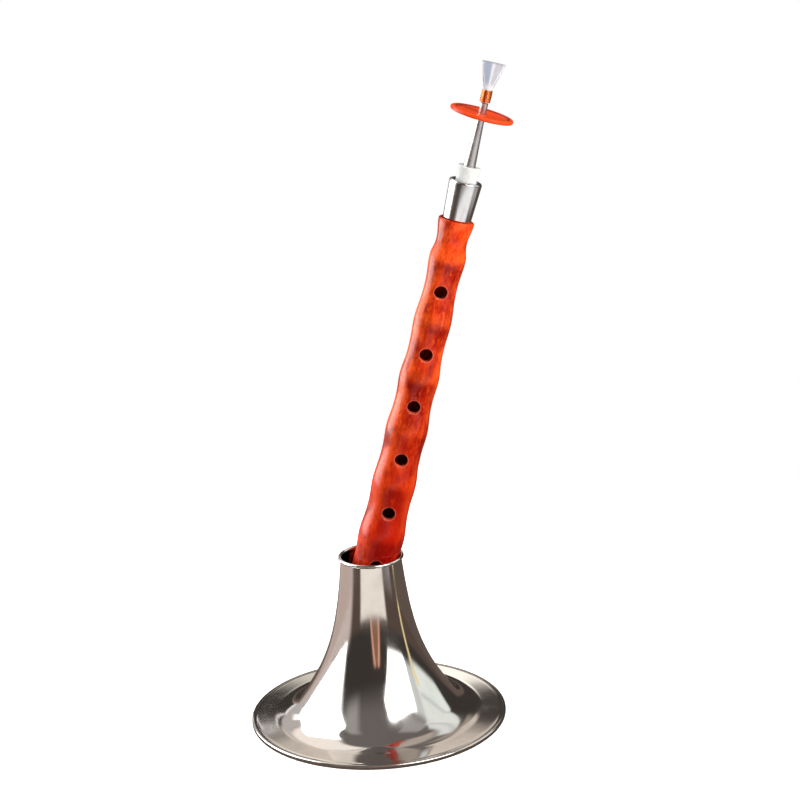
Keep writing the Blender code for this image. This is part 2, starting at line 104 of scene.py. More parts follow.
@dataclass(frozen=True)
class PipeSizes:
    """The turned wooden pipe, in metres; stations are measured up from its foot."""

    length: float = 274.0 * MM
    top_radius: float = 7.65 * MM
    foot_cone_radius: float = 13.3 * MM
    ridge_height: float = 0.9 * MM
    top_ridge_height: float = 1.25 * MM
    ridge_sharpness: float = 1.3
    top_rim_radius: float = 9.2 * MM
    top_rim_length: float = 11.5 * MM
    top_ridge_length: float = 8.5 * MM
    top_edge: float = 0.8 * MM
    foot_radius: float = 16.2 * MM
    foot_flare: float = 24.0 * MM
    foot_flare_power: float = 2.2
    foot_edge: float = 1.5 * MM
    bore_top_radius: float = 4.2 * MM
    bore_foot_radius: float = 9.6 * MM
    socket_radius: float = 5.8 * MM
    socket_depth: float = 22.6 * MM
    first_hole_depth: float = 36.9 * MM
    hole_pitches: tuple[float, ...] = tuple(MM * pitch for pitch in (33.4, 28.0, 29.1, 29.6, 29.8, 29.8))
    hole_radius: float = 3.4 * MM
    hole_chamfer: float = 0.5 * MM
    row_spacing: float = 1.1 * MM
    segments: int = 128

    @property
    def front_holes(self) -> list[float]:
        """Stations of the finger holes, from the top."""
        first = self.length - self.first_hole_depth
        return [first - sum(self.hole_pitches[:count]) for count in range(len(self.hole_pitches) + 1)]

    @property
    def thumb_hole(self) -> float:
        """Station of the thumb hole in the back."""
        return 0.5 * (self.front_holes[0] + self.front_holes[1])

    @property
    def waists(self) -> list[float]:
        """Stations between which the ridges rise, from the top."""
        return [self.length - self.top_rim_length] + self.front_holes

    @property
    def ridges(self) -> list[float]:
        """Stations of the ridges' crests, from the top."""
        holes = self.front_holes
        return [self.waists[0] - self.top_ridge_length] + [0.5 * sum(pair) for pair in zip(holes, holes[1:])]


@dataclass(frozen=True)
class Finish:
    """What one Principled material is made of."""

    name: str
    colour: Colour
    roughness: float
    metallic: float = 0.0
    coat: float = 0.0
    coat_roughness: float = 0.1
    transmission: float = 0.0
    specular: float = 0.5
    slot: str = ""


class Finishes:
    """The finishes that the pieces are given."""

    NICKEL = Finish("polished_nickel", (0.70, 0.675, 0.65), 0.09, metallic=1.0)
    STEEL = Finish("steel_wire", (0.45, 0.44, 0.43), 0.35, metallic=1.0)
    WOOD = Finish("red_lacquered_wood", (0.30, 0.001, 0.0001), 0.45, coat=0.38, coat_roughness=0.14, specular=0.05)
    THREAD = Finish("waxed_thread", (0.75, 0.68, 0.52), 0.75)
    SILVER = Finish("satin_silver", (0.64, 0.63, 0.63), 0.20, metallic=1.0)
    SATIN = Finish("brushed_silver", (0.64, 0.63, 0.63), 0.38, metallic=1.0, slot="satin_silver")
    PLASTIC = Finish("milky_plastic", (0.63, 0.66, 0.66), 0.4, transmission=0.1, specular=0.1)
    RED = Finish("red_plastic", (0.70, 0.052, 0.004), 0.45, coat=0.22, coat_roughness=0.16, specular=0.12)
    FILM = Finish("reed_plastic", (0.50, 0.52, 0.57), 0.4, specular=0.2)
    COPPER = Finish("copper_wire", (0.82, 0.28, 0.085), 0.33, metallic=1.0)


def arc(centre: Point, radius: float, start: float, end: float, steps: int) -> list[Point]:
    """Points of a circular arc.

    Args:
        centre: The arc's centre, as (radius, height).
        radius: The arc's radius.
        start: The first angle, in radians from the outward direction.
        end: The last angle.
        steps: How many chords the arc has.

    Returns:
        The points, both ends included.
    """
    angles = (start + (end - start) * step / steps for step in range(steps + 1))
    return [Vector((centre[0] + radius * math.cos(a), centre[1] + radius * math.sin(a))) for a in angles]


def offset_line(points: Sequence[Point], distance: float) -> list[Point]:
    """The line that runs beside a line of points, to the right of its direction."""
    shifted = []
    for index, point in enumerate(points):
        edges = (point - points[max(index - 1, 0)], points[min(index + 1, len(points) - 1)] - point)
        directions = [edge.normalized() for edge in edges if edge.length > 0.0]
        middle = sum(directions, Vector((0.0, 0.0))).normalized()
        mitre = distance / max(middle.dot(directions[0]), 0.5)
        shifted.append(point + Vector((middle.y, -middle.x)) * mitre)
    return shifted


def even_steps(start: float, end: float, spacing: float) -> list[float]:
    """Values from start to end, both included, no further apart than the spacing."""
    count = max(1, math.ceil(abs(end - start) / spacing))
    return [start + (end - start) * step / count for step in range(count + 1)]


class Meshes:
    """Ways to make the meshes that the pieces need."""

    SMOOTH_ANGLE = math.radians(40.0)

    @classmethod
    def finish(cls, name: str, bm: bmesh.types.BMesh) -> bpy.types.Mesh:
        """Turn a bmesh into a mesh that faces out and is smooth except at its sharp edges."""
        bmesh.ops.recalc_face_normals(bm, faces=bm.faces)
        mesh = bpy.data.meshes.new(name)
        bm.to_mesh(mesh)
        bm.free()
        mesh.shade_smooth()
        mesh.set_sharp_from_angle(angle=cls.SMOOTH_ANGLE)
        return mesh

    @classmethod
    def rings(cls, name: str, rings: Sequence[Sequence[Point]], closed: bool = True) -> bpy.types.Mesh:
        """Skin a sequence of rings with as many points each, joined end to start where closed."""
        bm = bmesh.new()
        loops = [[bm.verts.new(point) for point in ring] for ring in rings]
        following = loops[1:] + loops[:1] if closed else loops[1:]
        for lower, upper in zip(loops, following):
            for here in range(len(lower)):
                ahead = (here + 1) % len(lower)
                bm.faces.new((lower[here], lower[ahead], upper[ahead], upper[here]))
        if not closed:
            bm.faces.new(loops[0])
            bm.faces.new(loops[-1])
        return cls.finish(name, bm)

    @classmethod
    def turned(cls, name: str, outline: Sequence[Point], segments: int, hollow: bool = True) -> bpy.types.Mesh:
        """Spin an outline of (radius, height) about Z; a solid's outline ends on the axis."""
        bm = bmesh.new()
        corners = [bm.verts.new((point[0], 0.0, point[1])) for point in outline]
        following = corners[1:] + corners[:1] if hollow else corners[1:]
        edges = [bm.edges.new(pair) for pair in zip(corners, following)]
        bmesh.ops.spin(bm, geom=corners + edges, cent=(0.0, 0.0, 0.0), axis=(0.0, 0.0, 1.0),
                       angle=math.tau, steps=segments, use_merge=True)
        bmesh.ops.remove_doubles(bm, verts=bm.verts, dist=0.0005 * MM)
        return cls.finish(name, bm)

    @classmethod
    def wire(cls, name: str, points: Sequence[Point], radius: float, sides: int) -> bpy.types.Mesh:
        """A round wire about Z along a wound line of points."""
        rings = []
        for index, point in enumerate(points):
            along = points[min(index + 1, len(points) - 1)] - points[max(index - 1, 0)]
            outward = Vector((point.x, point.y, 0.0)).normalized()
            across = along.cross(outward).normalized()
            outward = across.cross(along).normalized()
            rings.append([point + radius * (math.cos(a) * outward + math.sin(a) * across)
                          for a in (math.tau * side / sides for side in range(sides))])
        return cls.rings(name, rings, closed=False)


class Place:
    """Where a CAD node stands: a frame at its lowest end, with Z along its axis."""

    NEAR = 0.02 * MM

    def __init__(self, node: str, lean: float) -> None:
        mesh = bpy.data.objects[node].data
        turn = Matrix.Rotation(lean, 4, 'Y')
        local = [turn.inverted() @ vert.co for vert in mesh.vertices]
        lowest = min(point.z for point in local)
        ring = [point for point in local if point.z - lowest < self.NEAR]
        low = Vector((min(p.x for p in ring), min(p.y for p in ring), lowest))
        high = Vector((max(p.x for p in ring), max(p.y for p in ring), lowest))
        self.matrix = turn @ Matrix.Translation(0.5 * (low + high))
        self.length = max(point.z for point in local) - lowest


class Shade:
    """Builds a node tree step by step."""

    def __init__(self, tree: bpy.types.NodeTree) -> None:
        self.tree = tree

    def node(self, kind: str, inputs: dict | None = None, **settings) -> bpy.types.Node:
        """Add a node, set its properties, and set or link its inputs."""
        made = self.tree.nodes.new(kind)
        for key, value in settings.items():
            setattr(made, key, value)
        for key, value in (inputs or {}).items():
            if isinstance(value, bpy.types.NodeSocket):
                self.tree.links.new(value, made.inputs[key])
            else:
                made.inputs[key].default_value = value
        return made

    def math(self, operation: str, first, second=0.0, clamp: bool = False) -> bpy.types.NodeSocket:
        """A Math node's result."""
        return self.node("ShaderNodeMath", {0: first, 1: second}, operation=operation, use_clamp=clamp).outputs[0]

    def mix(self, amount, first, second, blend: str = 'MIX') -> bpy.types.NodeSocket:
        """A colour between two colours."""
        made = self.node("ShaderNodeMix", data_type='RGBA', blend_type=blend)
        for slot, value in ((0, amount), (6, first), (7, second)):
            if isinstance(value, bpy.types.NodeSocket):
                self.tree.links.new(value, made.inputs[slot])
            elif slot == 0:
                made.inputs[slot].default_value = value
            else:
                made.inputs[slot].default_value = (*value, 1.0)
        return made.outputs[2]

    def ramp(self, value, low: float, high: float, to_low: float = 0.0, to_high: float = 1.0):
        """A value mapped smoothly from one range to another."""
        made = self.node("ShaderNodeMapRange", {"Value": value, "From Min": low, "From Max": high,
                                                "To Min": to_low, "To Max": to_high},
                         interpolation_type='SMOOTHSTEP')
        return made.outputs["Result"]

    def noise(self, vector, scale: float, detail: float = 3.0, roughness: float = 0.55) -> bpy.types.NodeSocket:
        """A noise value."""
        made = self.node("ShaderNodeTexNoise", {"Vector": vector, "Scale": scale, "Detail": detail,
                                                "Roughness": roughness})
        return made.outputs["Fac"]

    def stretched(self, vector, scale: Sequence[float]) -> bpy.types.NodeSocket:
        """A vector with each part multiplied."""
        return self.node("ShaderNodeMapping", {"Vector": vector, "Scale": scale}).outputs["Vector"]


def effect_group(name: str, inputs: Iterable[tuple[str, str, float]], outputs: Iterable[tuple[str, str]],
                 fill: Callable[[Shade, bpy.types.Node], dict]) -> bpy.types.NodeTree:
    """Make a shared node group.

    Args:
        name: The group's name.
        inputs: Name, socket type and default of each input.
        outputs: Name and socket type of each output.
        fill: Builds the inside and returns the socket for each output.

    Returns:
        The group's tree.
    """
    tree = bpy.data.node_groups.new(name, "ShaderNodeTree")
    for label, kind, default in inputs:
        socket = tree.interface.new_socket(label, in_out='INPUT', socket_type=kind)
        if kind == "NodeSocketFloat":
            socket.default_value = default
    for label, kind in outputs:
        tree.interface.new_socket(label, in_out='OUTPUT', socket_type=kind)
    shade = Shade(tree)
    entry = shade.node("NodeGroupInput")
    leave = shade.node("NodeGroupOutput")
    for label, socket in fill(shade, entry).items():
        tree.links.new(socket, leave.inputs[label])
    return tree


class Effects:
    """The shared effects that the materials draw on."""

    def __init__(self) -> None:
        vector_in = ("Vector", "NodeSocketVector", 0.0)
        value_out = ("Value", "NodeSocketFloat")
        self.grain = effect_group("wood_grain", [vector_in], [("Grain", "NodeSocketFloat"),
                                                              ("Pores", "NodeSocketFloat"),
                                                              ("Mottle", "NodeSocketFloat"),
                                                              ("Flecks", "NodeSocketFloat")], self._grain)
        self.turning = effect_group("turning_marks", [vector_in, ("Scale", "NodeSocketFloat", 1500.0)],
                                    [value_out], self._turning)
        self.smudge = effect_group("handling_smudges", [vector_in, ("Scale", "NodeSocketFloat", 60.0)],
                                   [value_out], self._smudge)
        self.crest_shade_and_rim_light = effect_group("crest_shade_and_rim_light", [vector_in], [("PaintedShade", "NodeSocketFloat"),
                                                                       ("PaintedLight", "NodeSocketFloat"),
                                                                       ("RimHighlight", "NodeSocketFloat")], self._bands)

    @staticmethod
    def _grain(shade: Shade, entry: bpy.types.Node) -> dict:
        """Long streaks, short pores, broad mottling and small flecks along Z."""
        vector = entry.outputs["Vector"]
        streaks = shade.noise(shade.stretched(vector, (1.0, 1.0, 0.06)), 420.0, 5.0, 0.6)
        pores = shade.noise(shade.stretched(vector, (1.0, 1.0, 0.10)), 1500.0, 2.0, 0.5)
        mottle = shade.noise(shade.stretched(vector, (1.0, 1.0, 0.6)), 75.0, 4.0, 0.62)
        flecks = shade.noise(shade.stretched(vector, (1.0, 1.0, 0.45)), 750.0, 3.0, 0.6)
        return {"Grain": streaks, "Pores": shade.ramp(pores, 0.60, 0.72), "Mottle": mottle, "Flecks": flecks}

    @staticmethod
    def _turning(shade: Shade, entry: bpy.types.Node) -> dict:
        """Fine rings round Z, as a spinning or turning tool leaves them."""
        parts = shade.node("ShaderNodeSeparateXYZ", {"Vector": entry.outputs["Vector"]})
        x, y, z = parts.outputs
        radius = shade.math('SQRT', shade.math('ADD', shade.math('MULTIPLY', x, x), shade.math('MULTIPLY', y, y)))
        rings = shade.node("ShaderNodeCombineXYZ", {"X": radius, "Y": z})
        return {"Value": shade.noise(rings.outputs[0], entry.outputs["Scale"], 3.0, 0.6)}

    @staticmethod
    def _smudge(shade: Shade, entry: bpy.types.Node) -> dict:
        """Soft patches where hands and cloths have been."""
        soft = shade.noise(entry.outputs["Vector"], entry.outputs["Scale"], 4.0, 0.65)
        return {"Value": shade.ramp(soft, 0.38, 0.72)}

    @staticmethod
    def _bands(shade: Shade, entry: bpy.types.Node) -> dict:
        """Masks for painted shade in a band just below each ridge of the pipe, painted light in a band just above it,
        and painted highlights on the rims of its front finger holes.
        """
        sizes = PipeSizes()
        x, y, z = shade.node("ShaderNodeSeparateXYZ", {"Vector": entry.outputs["Vector"]}).outputs
        below = above = rim = 0.0
        for crest in sizes.ridges:
            rise = shade.ramp(z, crest - 13.0 * MM, crest - 2.0 * MM)
            fall = shade.ramp(z, crest - 3.5 * MM, crest + 2.0 * MM)
            fade = shade.ramp(z, crest, crest + 9.0 * MM, 1.0, 0.0)
            below = shade.math('ADD', below, shade.math('SUBTRACT', rise, fall))
            above = shade.math('ADD', above, shade.math('MULTIPLY', fall, fade))
        across = shade.math('MULTIPLY', x, x)
        for station in sizes.front_holes:
            along = shade.math('SUBTRACT', z, station)
            reach = shade.math('SQRT', shade.math('ADD', across, shade.math('MULTIPLY', along, along)))
            near = shade.ramp(reach, sizes.hole_radius + 0.3 * MM, sizes.hole_radius + 0.7 * MM, 1.0, 0.0)
            rim = shade.math('ADD', rim, near)
        front = shade.ramp(y, -sizes.top_radius + 2.5 * MM, -sizes.top_radius + 3.5 * MM, 1.0, 0.0)
        return {"PaintedShade": below, "PaintedLight": above, "RimHighlight": shade.math('MULTIPLY', rim, front)}


class Materials:
    """Makes each material once and hands it out by its finish."""

    def __init__(self) -> None:
        self.effects = Effects()
        self.made: dict[str, bpy.types.Material] = {}
        self.recipes: dict[str, Callable] = {
            Finishes.NICKEL.name: self._metal, Finishes.STEEL.name: self._metal,
            Finishes.SILVER.name: self._metal, Finishes.SATIN.name: self._metal,
            Finishes.COPPER.name: self._metal,
            Finishes.WOOD.name: self._wood, Finishes.THREAD.name: self._thread,
            Finishes.PLASTIC.name: self._plastic, Finishes.RED.name: self._moulded,
            Finishes.FILM.name: self._film,
        }

    def get(self, finish: Finish) -> bpy.types.Material:
        """The material of a finish."""
        if finish.name not in self.made:
            material = bpy.data.materials.new("look_" + finish.name)
            material.use_nodes = True
            shader = material.node_tree.nodes["Principled BSDF"]
            shader.inputs["Base Color"].default_value = (*finish.colour, 1.0)
            shader.inputs["Roughness"].default_value = finish.roughness
            shader.inputs["Metallic"].default_value = finish.metallic
            shader.inputs["Coat Weight"].default_value = finish.coat
            shader.inputs["Coat Roughness"].default_value = finish.coat_roughness
            shader.inputs["Transmission Weight"].default_value = finish.transmission
            shader.inputs["Specular IOR Level"].default_value = finish.specular
            self.recipes[finish.name](Shade(material.node_tree), shader, finish)
            self.made[finish.name] = material
        return self.made[finish.name]

    def _group(self, shade: Shade, tree: bpy.types.NodeTree, inputs: dict) -> bpy.types.Node:
        made = shade.node("ShaderNodeGroup", node_tree=tree)
        for key, value in inputs.items():
            if isinstance(value, bpy.types.NodeSocket):
                shade.tree.links.new(value, made.inputs[key])
            else:
                made.inputs[key].default_value = value
        return made

    @staticmethod
    def _local(shade: Shade) -> bpy.types.NodeSocket:
        return shade.node("ShaderNodeTexCoord").outputs["Object"]

    @staticmethod
    def _bump(shade: Shade, shader: bpy.types.Node, height, distance: float, strength: float = 1.0) -> None:
        bump = shade.node("ShaderNodeBump", {"Height": height, "Strength": strength, "Distance": distance})
        shade.tree.links.new(bump.outputs["Normal"], shader.inputs["Normal"])

    def _metal(self, shade: Shade, shader: bpy.types.Node, finish: Finish) -> None:
        """Polished metal with faint turning marks and smudges."""
        local = self._local(shade)
        marks = self._group(shade, self.effects.turning, {"Vector": local}).outputs[0]
        smudge = self._group(shade, self.effects.smudge, {"Vector": local}).outputs[0]
        speck = shade.noise(local, 2600.0, 2.0, 0.5)
        darker = tuple(0.93 * part for part in finish.colour)
        shade.tree.links.new(shade.mix(smudge, finish.colour, darker), shader.inputs["Base Color"])
        rough = shade.math('ADD', shade.ramp(smudge, 0.0, 1.0, 0.8 * finish.roughness, 1.25 * finish.roughness),
                           shade.math('MULTIPLY', shade.math('SUBTRACT', speck, 0.5), 0.25 * finish.roughness))
        shade.tree.links.new(rough, shader.inputs["Roughness"])
        grit = shade.noise(local, 1500.0, 2.0, 0.6)
        height = shade.math('ADD', shade.math('MULTIPLY', marks, 0.4), grit)
        self._bump(shade, shader, height, 0.0024 * MM)

    def _wood(self, shade: Shade, shader: bpy.types.Node, finish: Finish) -> None:
        """Dyed and lacquered wood: grain along the pipe, darker mottling and a more orange top, with painted light
        and shade: lighter orange sides, shade below and light above each ridge, highlights on the finger-hole rims
        and shade over the right side.
        """
        local = self._local(shade)
        grain = self._group(shade, self.effects.grain, {"Vector": local})
        bands = self._group(shade, self.effects.crest_shade_and_rim_light, {"Vector": local})
        deep, warm, rim_highlight = (0.22, 0.002, 0.0003), (0.65, 0.036, 0.004), (0.80, 0.26, 0.16)
        blotch = grain.outputs["Mottle"]
        x, y, z = shade.node("ShaderNodeSeparateXYZ", {"Vector": local}).outputs
        rise = shade.ramp(z, 0.08, 0.22)
        turn = shade.math('DEGREES', shade.math('ARCTAN2', x, shade.math('MULTIPLY', y, -1.0)))
        # Painted light: away from the front the wood is painted a lighter orange, standing in for the light on its
        # sides.
        side = shade.math('MAXIMUM', shade.ramp(turn, -46.0, -12.0, 1.0, 0.0), shade.ramp(turn, 24.0, 60.0, 0.0, 0.7))
        body = shade.mix(rise, finish.colour, warm)
        bright = shade.mix(rise, (0.48, 0.008, 0.001), (0.90, 0.110, 0.012))
        painted_lit_side = shade.mix(rise, (0.76, 0.060, 0.010), (0.90, 0.125, 0.018))
        body = shade.mix(shade.math('MULTIPLY', side, shade.ramp(blotch, 0.3, 0.6, 0.55, 0.95)), body, painted_lit_side)
        base = shade.mix(shade.ramp(blotch, 0.34, 0.60), deep, body)
        base = shade.mix(shade.ramp(blotch, 0.52, 0.74, 0.0, 0.8), base, bright)
        base = shade.mix(shade.ramp(grain.outputs["Grain"], 0.50, 0.72, 0.0, 0.4), base, bright)
        # Painted shade in a band below each ridge, fading out on the sides; then painted light in a band above it.
        shaded = shade.math('MULTIPLY', bands.outputs["PaintedShade"], shade.ramp(side, 0.0, 1.0, 1.0, 0.15))
        base = shade.mix(shade.math('MULTIPLY', shaded, shade.ramp(blotch, 0.3, 0.7, 0.75, 0.3)), base, deep)
        base = shade.mix(shade.math('MULTIPLY', bands.outputs["PaintedLight"], shade.ramp(blotch, 0.3, 0.7, 0.3, 0.75)),
                         base, bright)
        base = shade.mix(shade.ramp(grain.outputs["Flecks"], 0.56, 0.70, 0.0, 0.5), base, bright)
        base = shade.mix(shade.ramp(grain.outputs["Flecks"], 0.32, 0.46, 0.5, 0.0), base, deep)
        base = shade.mix(shade.math('MULTIPLY', grain.outputs["Pores"], 0.5), base, deep)
        # Painted highlight round the rims of the front finger holes.
        base = shade.mix(shade.math('MULTIPLY', bands.outputs["RimHighlight"], 0.22), base, rim_highlight)
        # Painted shade over the pipe's right side.
        base = shade.mix(shade.ramp(turn, 52.0, 80.0, 0.0, 0.6), base, deep)
        shade.tree.links.new(base, shader.inputs["Base Color"])
        shade.tree.links.new(shade.ramp(grain.outputs["Grain"], 0.3, 0.7, 0.36, 0.5), shader.inputs["Roughness"])
        self._bump(shade, shader, grain.outputs["Grain"], 0.02 * MM)

    def _thread(self, shade: Shade, shader: bpy.types.Node, finish: Finish) -> None:
        """Waxed cotton thread."""
        fibres = shade.noise(self._local(shade), 4000.0, 3.0)
        darker = tuple(0.6 * part for part in finish.colour)
        shade.tree.links.new(shade.mix(fibres, darker, finish.colour), shader.inputs["Base Color"])
        self._bump(shade, shader, fibres, 0.03 * MM)

    def _plastic(self, shade: Shade, shader: bpy.types.Node, finish: Finish) -> None:
        """Moulded plastic with faint flow marks."""
        local = self._local(shade)
        flow = self._group(shade, self.effects.smudge, {"Vector": local, "Scale": 240.0}).outputs[0]
        darker = tuple(0.9 * part for part in finish.colour)
        shade.tree.links.new(shade.mix(flow, finish.colour, darker), shader.inputs["Base Color"])
        shade.tree.links.new(shade.ramp(flow, 0.0, 1.0, 0.85 * finish.roughness, 1.2 * finish.roughness),
                             shader.inputs["Roughness"])
        self._bump(shade, shader, shade.noise(local, 400.0, 2.0), 0.002 * MM)

    def _moulded(self, shade: Shade, shader: bpy.types.Node, finish: Finish) -> None:
        """Plastic as above, with painted shade in the corner of the disc's dish."""
        self._plastic(shade, shader, finish)
        local = self._local(shade)
        x, y, _ = shade.node("ShaderNodeSeparateXYZ", {"Vector": local}).outputs
        reach = shade.math('SQRT', shade.math('ADD', shade.math('MULTIPLY', x, x), shade.math('MULTIPLY', y, y)))
        # Painted shade: a dark ring in the corner of the dish, under its raised rim.
        corner = shade.math('MULTIPLY', shade.ramp(reach, 12.9 * MM, 13.4 * MM),
                            shade.ramp(reach, 14.0 * MM, 14.3 * MM, 1.0, 0.0))
        unshaded = shader.inputs["Base Color"].links[0].from_socket
        corner_shaded = shade.mix(shade.math('MULTIPLY', corner, 0.8), unshaded, (0.16, 0.012, 0.012))
        shade.tree.links.new(corner_shaded, shader.inputs["Base Color"])

    def _film(self, shade: Shade, shader: bpy.types.Node, finish: Finish) -> None:
        """Cloudy film with painted shade: each face is painted darker on its two slanted halves, bluish on one and
        grey on the other, with the pale keel between them, and a dark outline is painted along its edges and top.
        """
        local = self._local(shade)
        x, _, z = shade.node("ShaderNodeSeparateXYZ", {"Vector": local}).outputs
        half = shade.ramp(z, 7.3 * MM, 20.0 * MM, 2.3 * MM, 5.9 * MM)
        across = shade.math('DIVIDE', x, half)
        cloud = self._group(shade, self.effects.smudge, {"Vector": local, "Scale": 160.0}).outputs[0]
        # Painted shade on the two slanted halves of each face.
        blue_facet_shade = shade.math('MULTIPLY', shade.ramp(across, -0.90, -0.70), shade.ramp(across, -0.20, -0.06, 1.0, 0.0))
        grey_facet_shade = shade.math('MULTIPLY', shade.ramp(across, 0.08, 0.24), shade.ramp(across, 0.72, 0.88, 1.0, 0.0))
        above = shade.ramp(z, 7.2 * MM, 11.0 * MM)
        colour = shade.mix(shade.math('MULTIPLY', blue_facet_shade, above), finish.colour, (0.27, 0.32, 0.41))
        grey_facet_shade = shade.math('MULTIPLY', grey_facet_shade, shade.ramp(cloud, 0.0, 1.0, 0.95, 0.7))
        colour = shade.mix(shade.math('MULTIPLY', grey_facet_shade, above), colour, (0.33, 0.34, 0.38))
        # Painted shade: a dark outline along the edges and the top.
        edge = shade.math('MAXIMUM', shade.ramp(shade.math('ABSOLUTE', across), 0.93, 0.99),
                          shade.ramp(z, 19.6 * MM, 19.9 * MM))
        colour = shade.mix(shade.math('MULTIPLY', edge, 0.7), colour, (0.26, 0.27, 0.30))
        shade.tree.links.new(colour, shader.inputs["Base Color"])
        shade.tree.links.new(shade.ramp(cloud, 0.0, 1.0, 0.9 * finish.roughness, 1.1 * finish.roughness),
                             shader.inputs["Roughness"])
        self._bump(shade, shader, shade.noise(shade.stretched(local, (1.0, 1.0, 0.1)), 400.0, 1.0), 0.001 * MM)


@dataclass
class Piece:
    """One finished piece that stands for a CAD node."""

    node: str
    body: Body
    finish: Finish
    lean: float = 0.0
    seat: str = ""

    def __post_init__(self) -> None:
        self.name = f"fine_{self.node}"
        self.place = Place(self.seat or self.node, self.lean)

    def mesh(self) -> bpy.types.Mesh:
        """The piece's mesh in its own frame."""
        raise NotImplementedError

    def build(self, materials: Materials) -> bpy.types.Object:
        """Make the object, put it where its CAD node is, and let it stand for that node."""
        data = self.mesh()
        made = bpy.data.objects.new(self.name, data)
        bpy.context.collection.objects.link(made)
        made.matrix_world = self.place.matrix
        data.materials.append(materials.get(self.finish))
        bpy.context.view_layer.update()
        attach(made, self.body.value)
        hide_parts(self.node)
        LOG.info("%s: %d faces", self.name, len(data.polygons))
        return made


@dataclass
class BellShell(Piece):
    """The spun bell, with its rolled lip and the hem round its brim."""

    sizes: BellSizes = field(default_factory=BellSizes)

    def squared(self, spoke: Point, radius: float) -> Point:
        """A point of the hem's circle moved out, so that the hem's outer face stands nearly upright."""
        power = 2.0 / self.sizes.hem_squareness
        return Vector([math.copysign(radius * abs(part / radius) ** power, part) for part in spoke])

    def mesh(self) -> bpy.types.Mesh:
        sizes = self.sizes
        low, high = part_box(self.node)
        brim_radius, height = 0.5 * (high[0] - low[0]), high[2] - low[2]
        hem_radius = sizes.wire_radius + sizes.hem_room + sizes.wall
        hem = Vector((brim_radius - hem_radius, hem_radius * math.cos(sizes.hem_flat)))
        lip = Vector((sizes.neck_radius - sizes.wall + sizes.lip_radius, height - sizes.lip_radius))

        def flare(at: float) -> Point:
            fall = (lip.y - at) / lip.y
            return Vector((sizes.neck_radius + sizes.neck_taper * fall
                           + sizes.flare_spread * fall ** sizes.flare_power, at))

        fall = (lip.y - sizes.bend_height) / lip.y
        slope = sizes.neck_taper + sizes.flare_power * sizes.flare_spread * fall ** (sizes.flare_power - 1.0)
        down = Vector((slope, -lip.y)).normalized()
        out = Vector((math.cos(sizes.brim_slope), -math.sin(sizes.brim_slope)))
        edge = hem + hem_radius * Vector((math.sin(sizes.brim_slope), math.cos(sizes.brim_slope)))
        start = flare(sizes.bend_height)
        across = Vector((-out.y, out.x))
        tangent = (edge - start).dot(across) / down.dot(across)
        turn = down.angle(out)
        radius = tangent / math.tan(0.5 * turn)
        centre = start + radius * Vector((-down.y, down.x))
        first = math.atan2(start.y - centre.y, start.x - centre.x)
        bend = arc(centre, radius, first, first + turn, 32)
        top = lip.y - 1.2 * sizes.lip_radius
        wall = [flare(at) for at in even_steps(top, sizes.bend_height, 1.0 * MM)[:-1]]
        groove = [edge - out * aside + across * rise for aside, rise in sizes.groove]
        brim = [bend[-1].lerp(groove[0], step / 8) for step in range(1, 8)] + groove
        curl = [self.squared(point - hem, hem_radius) + hem for point in
                arc(hem, hem_radius, 0.5 * math.pi - sizes.brim_slope, sizes.hem_flat - 0.5 * math.pi, 36)]
        curl = [Vector((point.x, max(point.y, 0.0))) for point in curl]
        under = arc(hem, hem_radius, -0.5 * math.pi - sizes.hem_flat, sizes.hem_end, 10)
        outside = wall + bend + brim + curl + under
        inside = offset_line(outside, sizes.wall)
        neck = [Vector((sizes.neck_radius - sizes.wall, lip.y - sizes.lip_radius))]
        bead = arc(lip, sizes.lip_radius, math.pi, math.radians(-55.0), 28)
        return Meshes.turned(self.name, outside + inside[::-1] + neck + bead, sizes.segments)


@dataclass
class BrimWire(Piece):
    """The wire inside the brim's hem."""

    def mesh(self) -> bpy.types.Mesh:
        low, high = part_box(self.node)
        outer = 0.5 * (high[0] - low[0])
        radius = 0.5 * (high[2] - low[2])
        section = arc(Vector((outer - radius, radius)), radius, 0.0, math.tau, 12)[:-1]
        return Meshes.turned(self.name, section, 192)


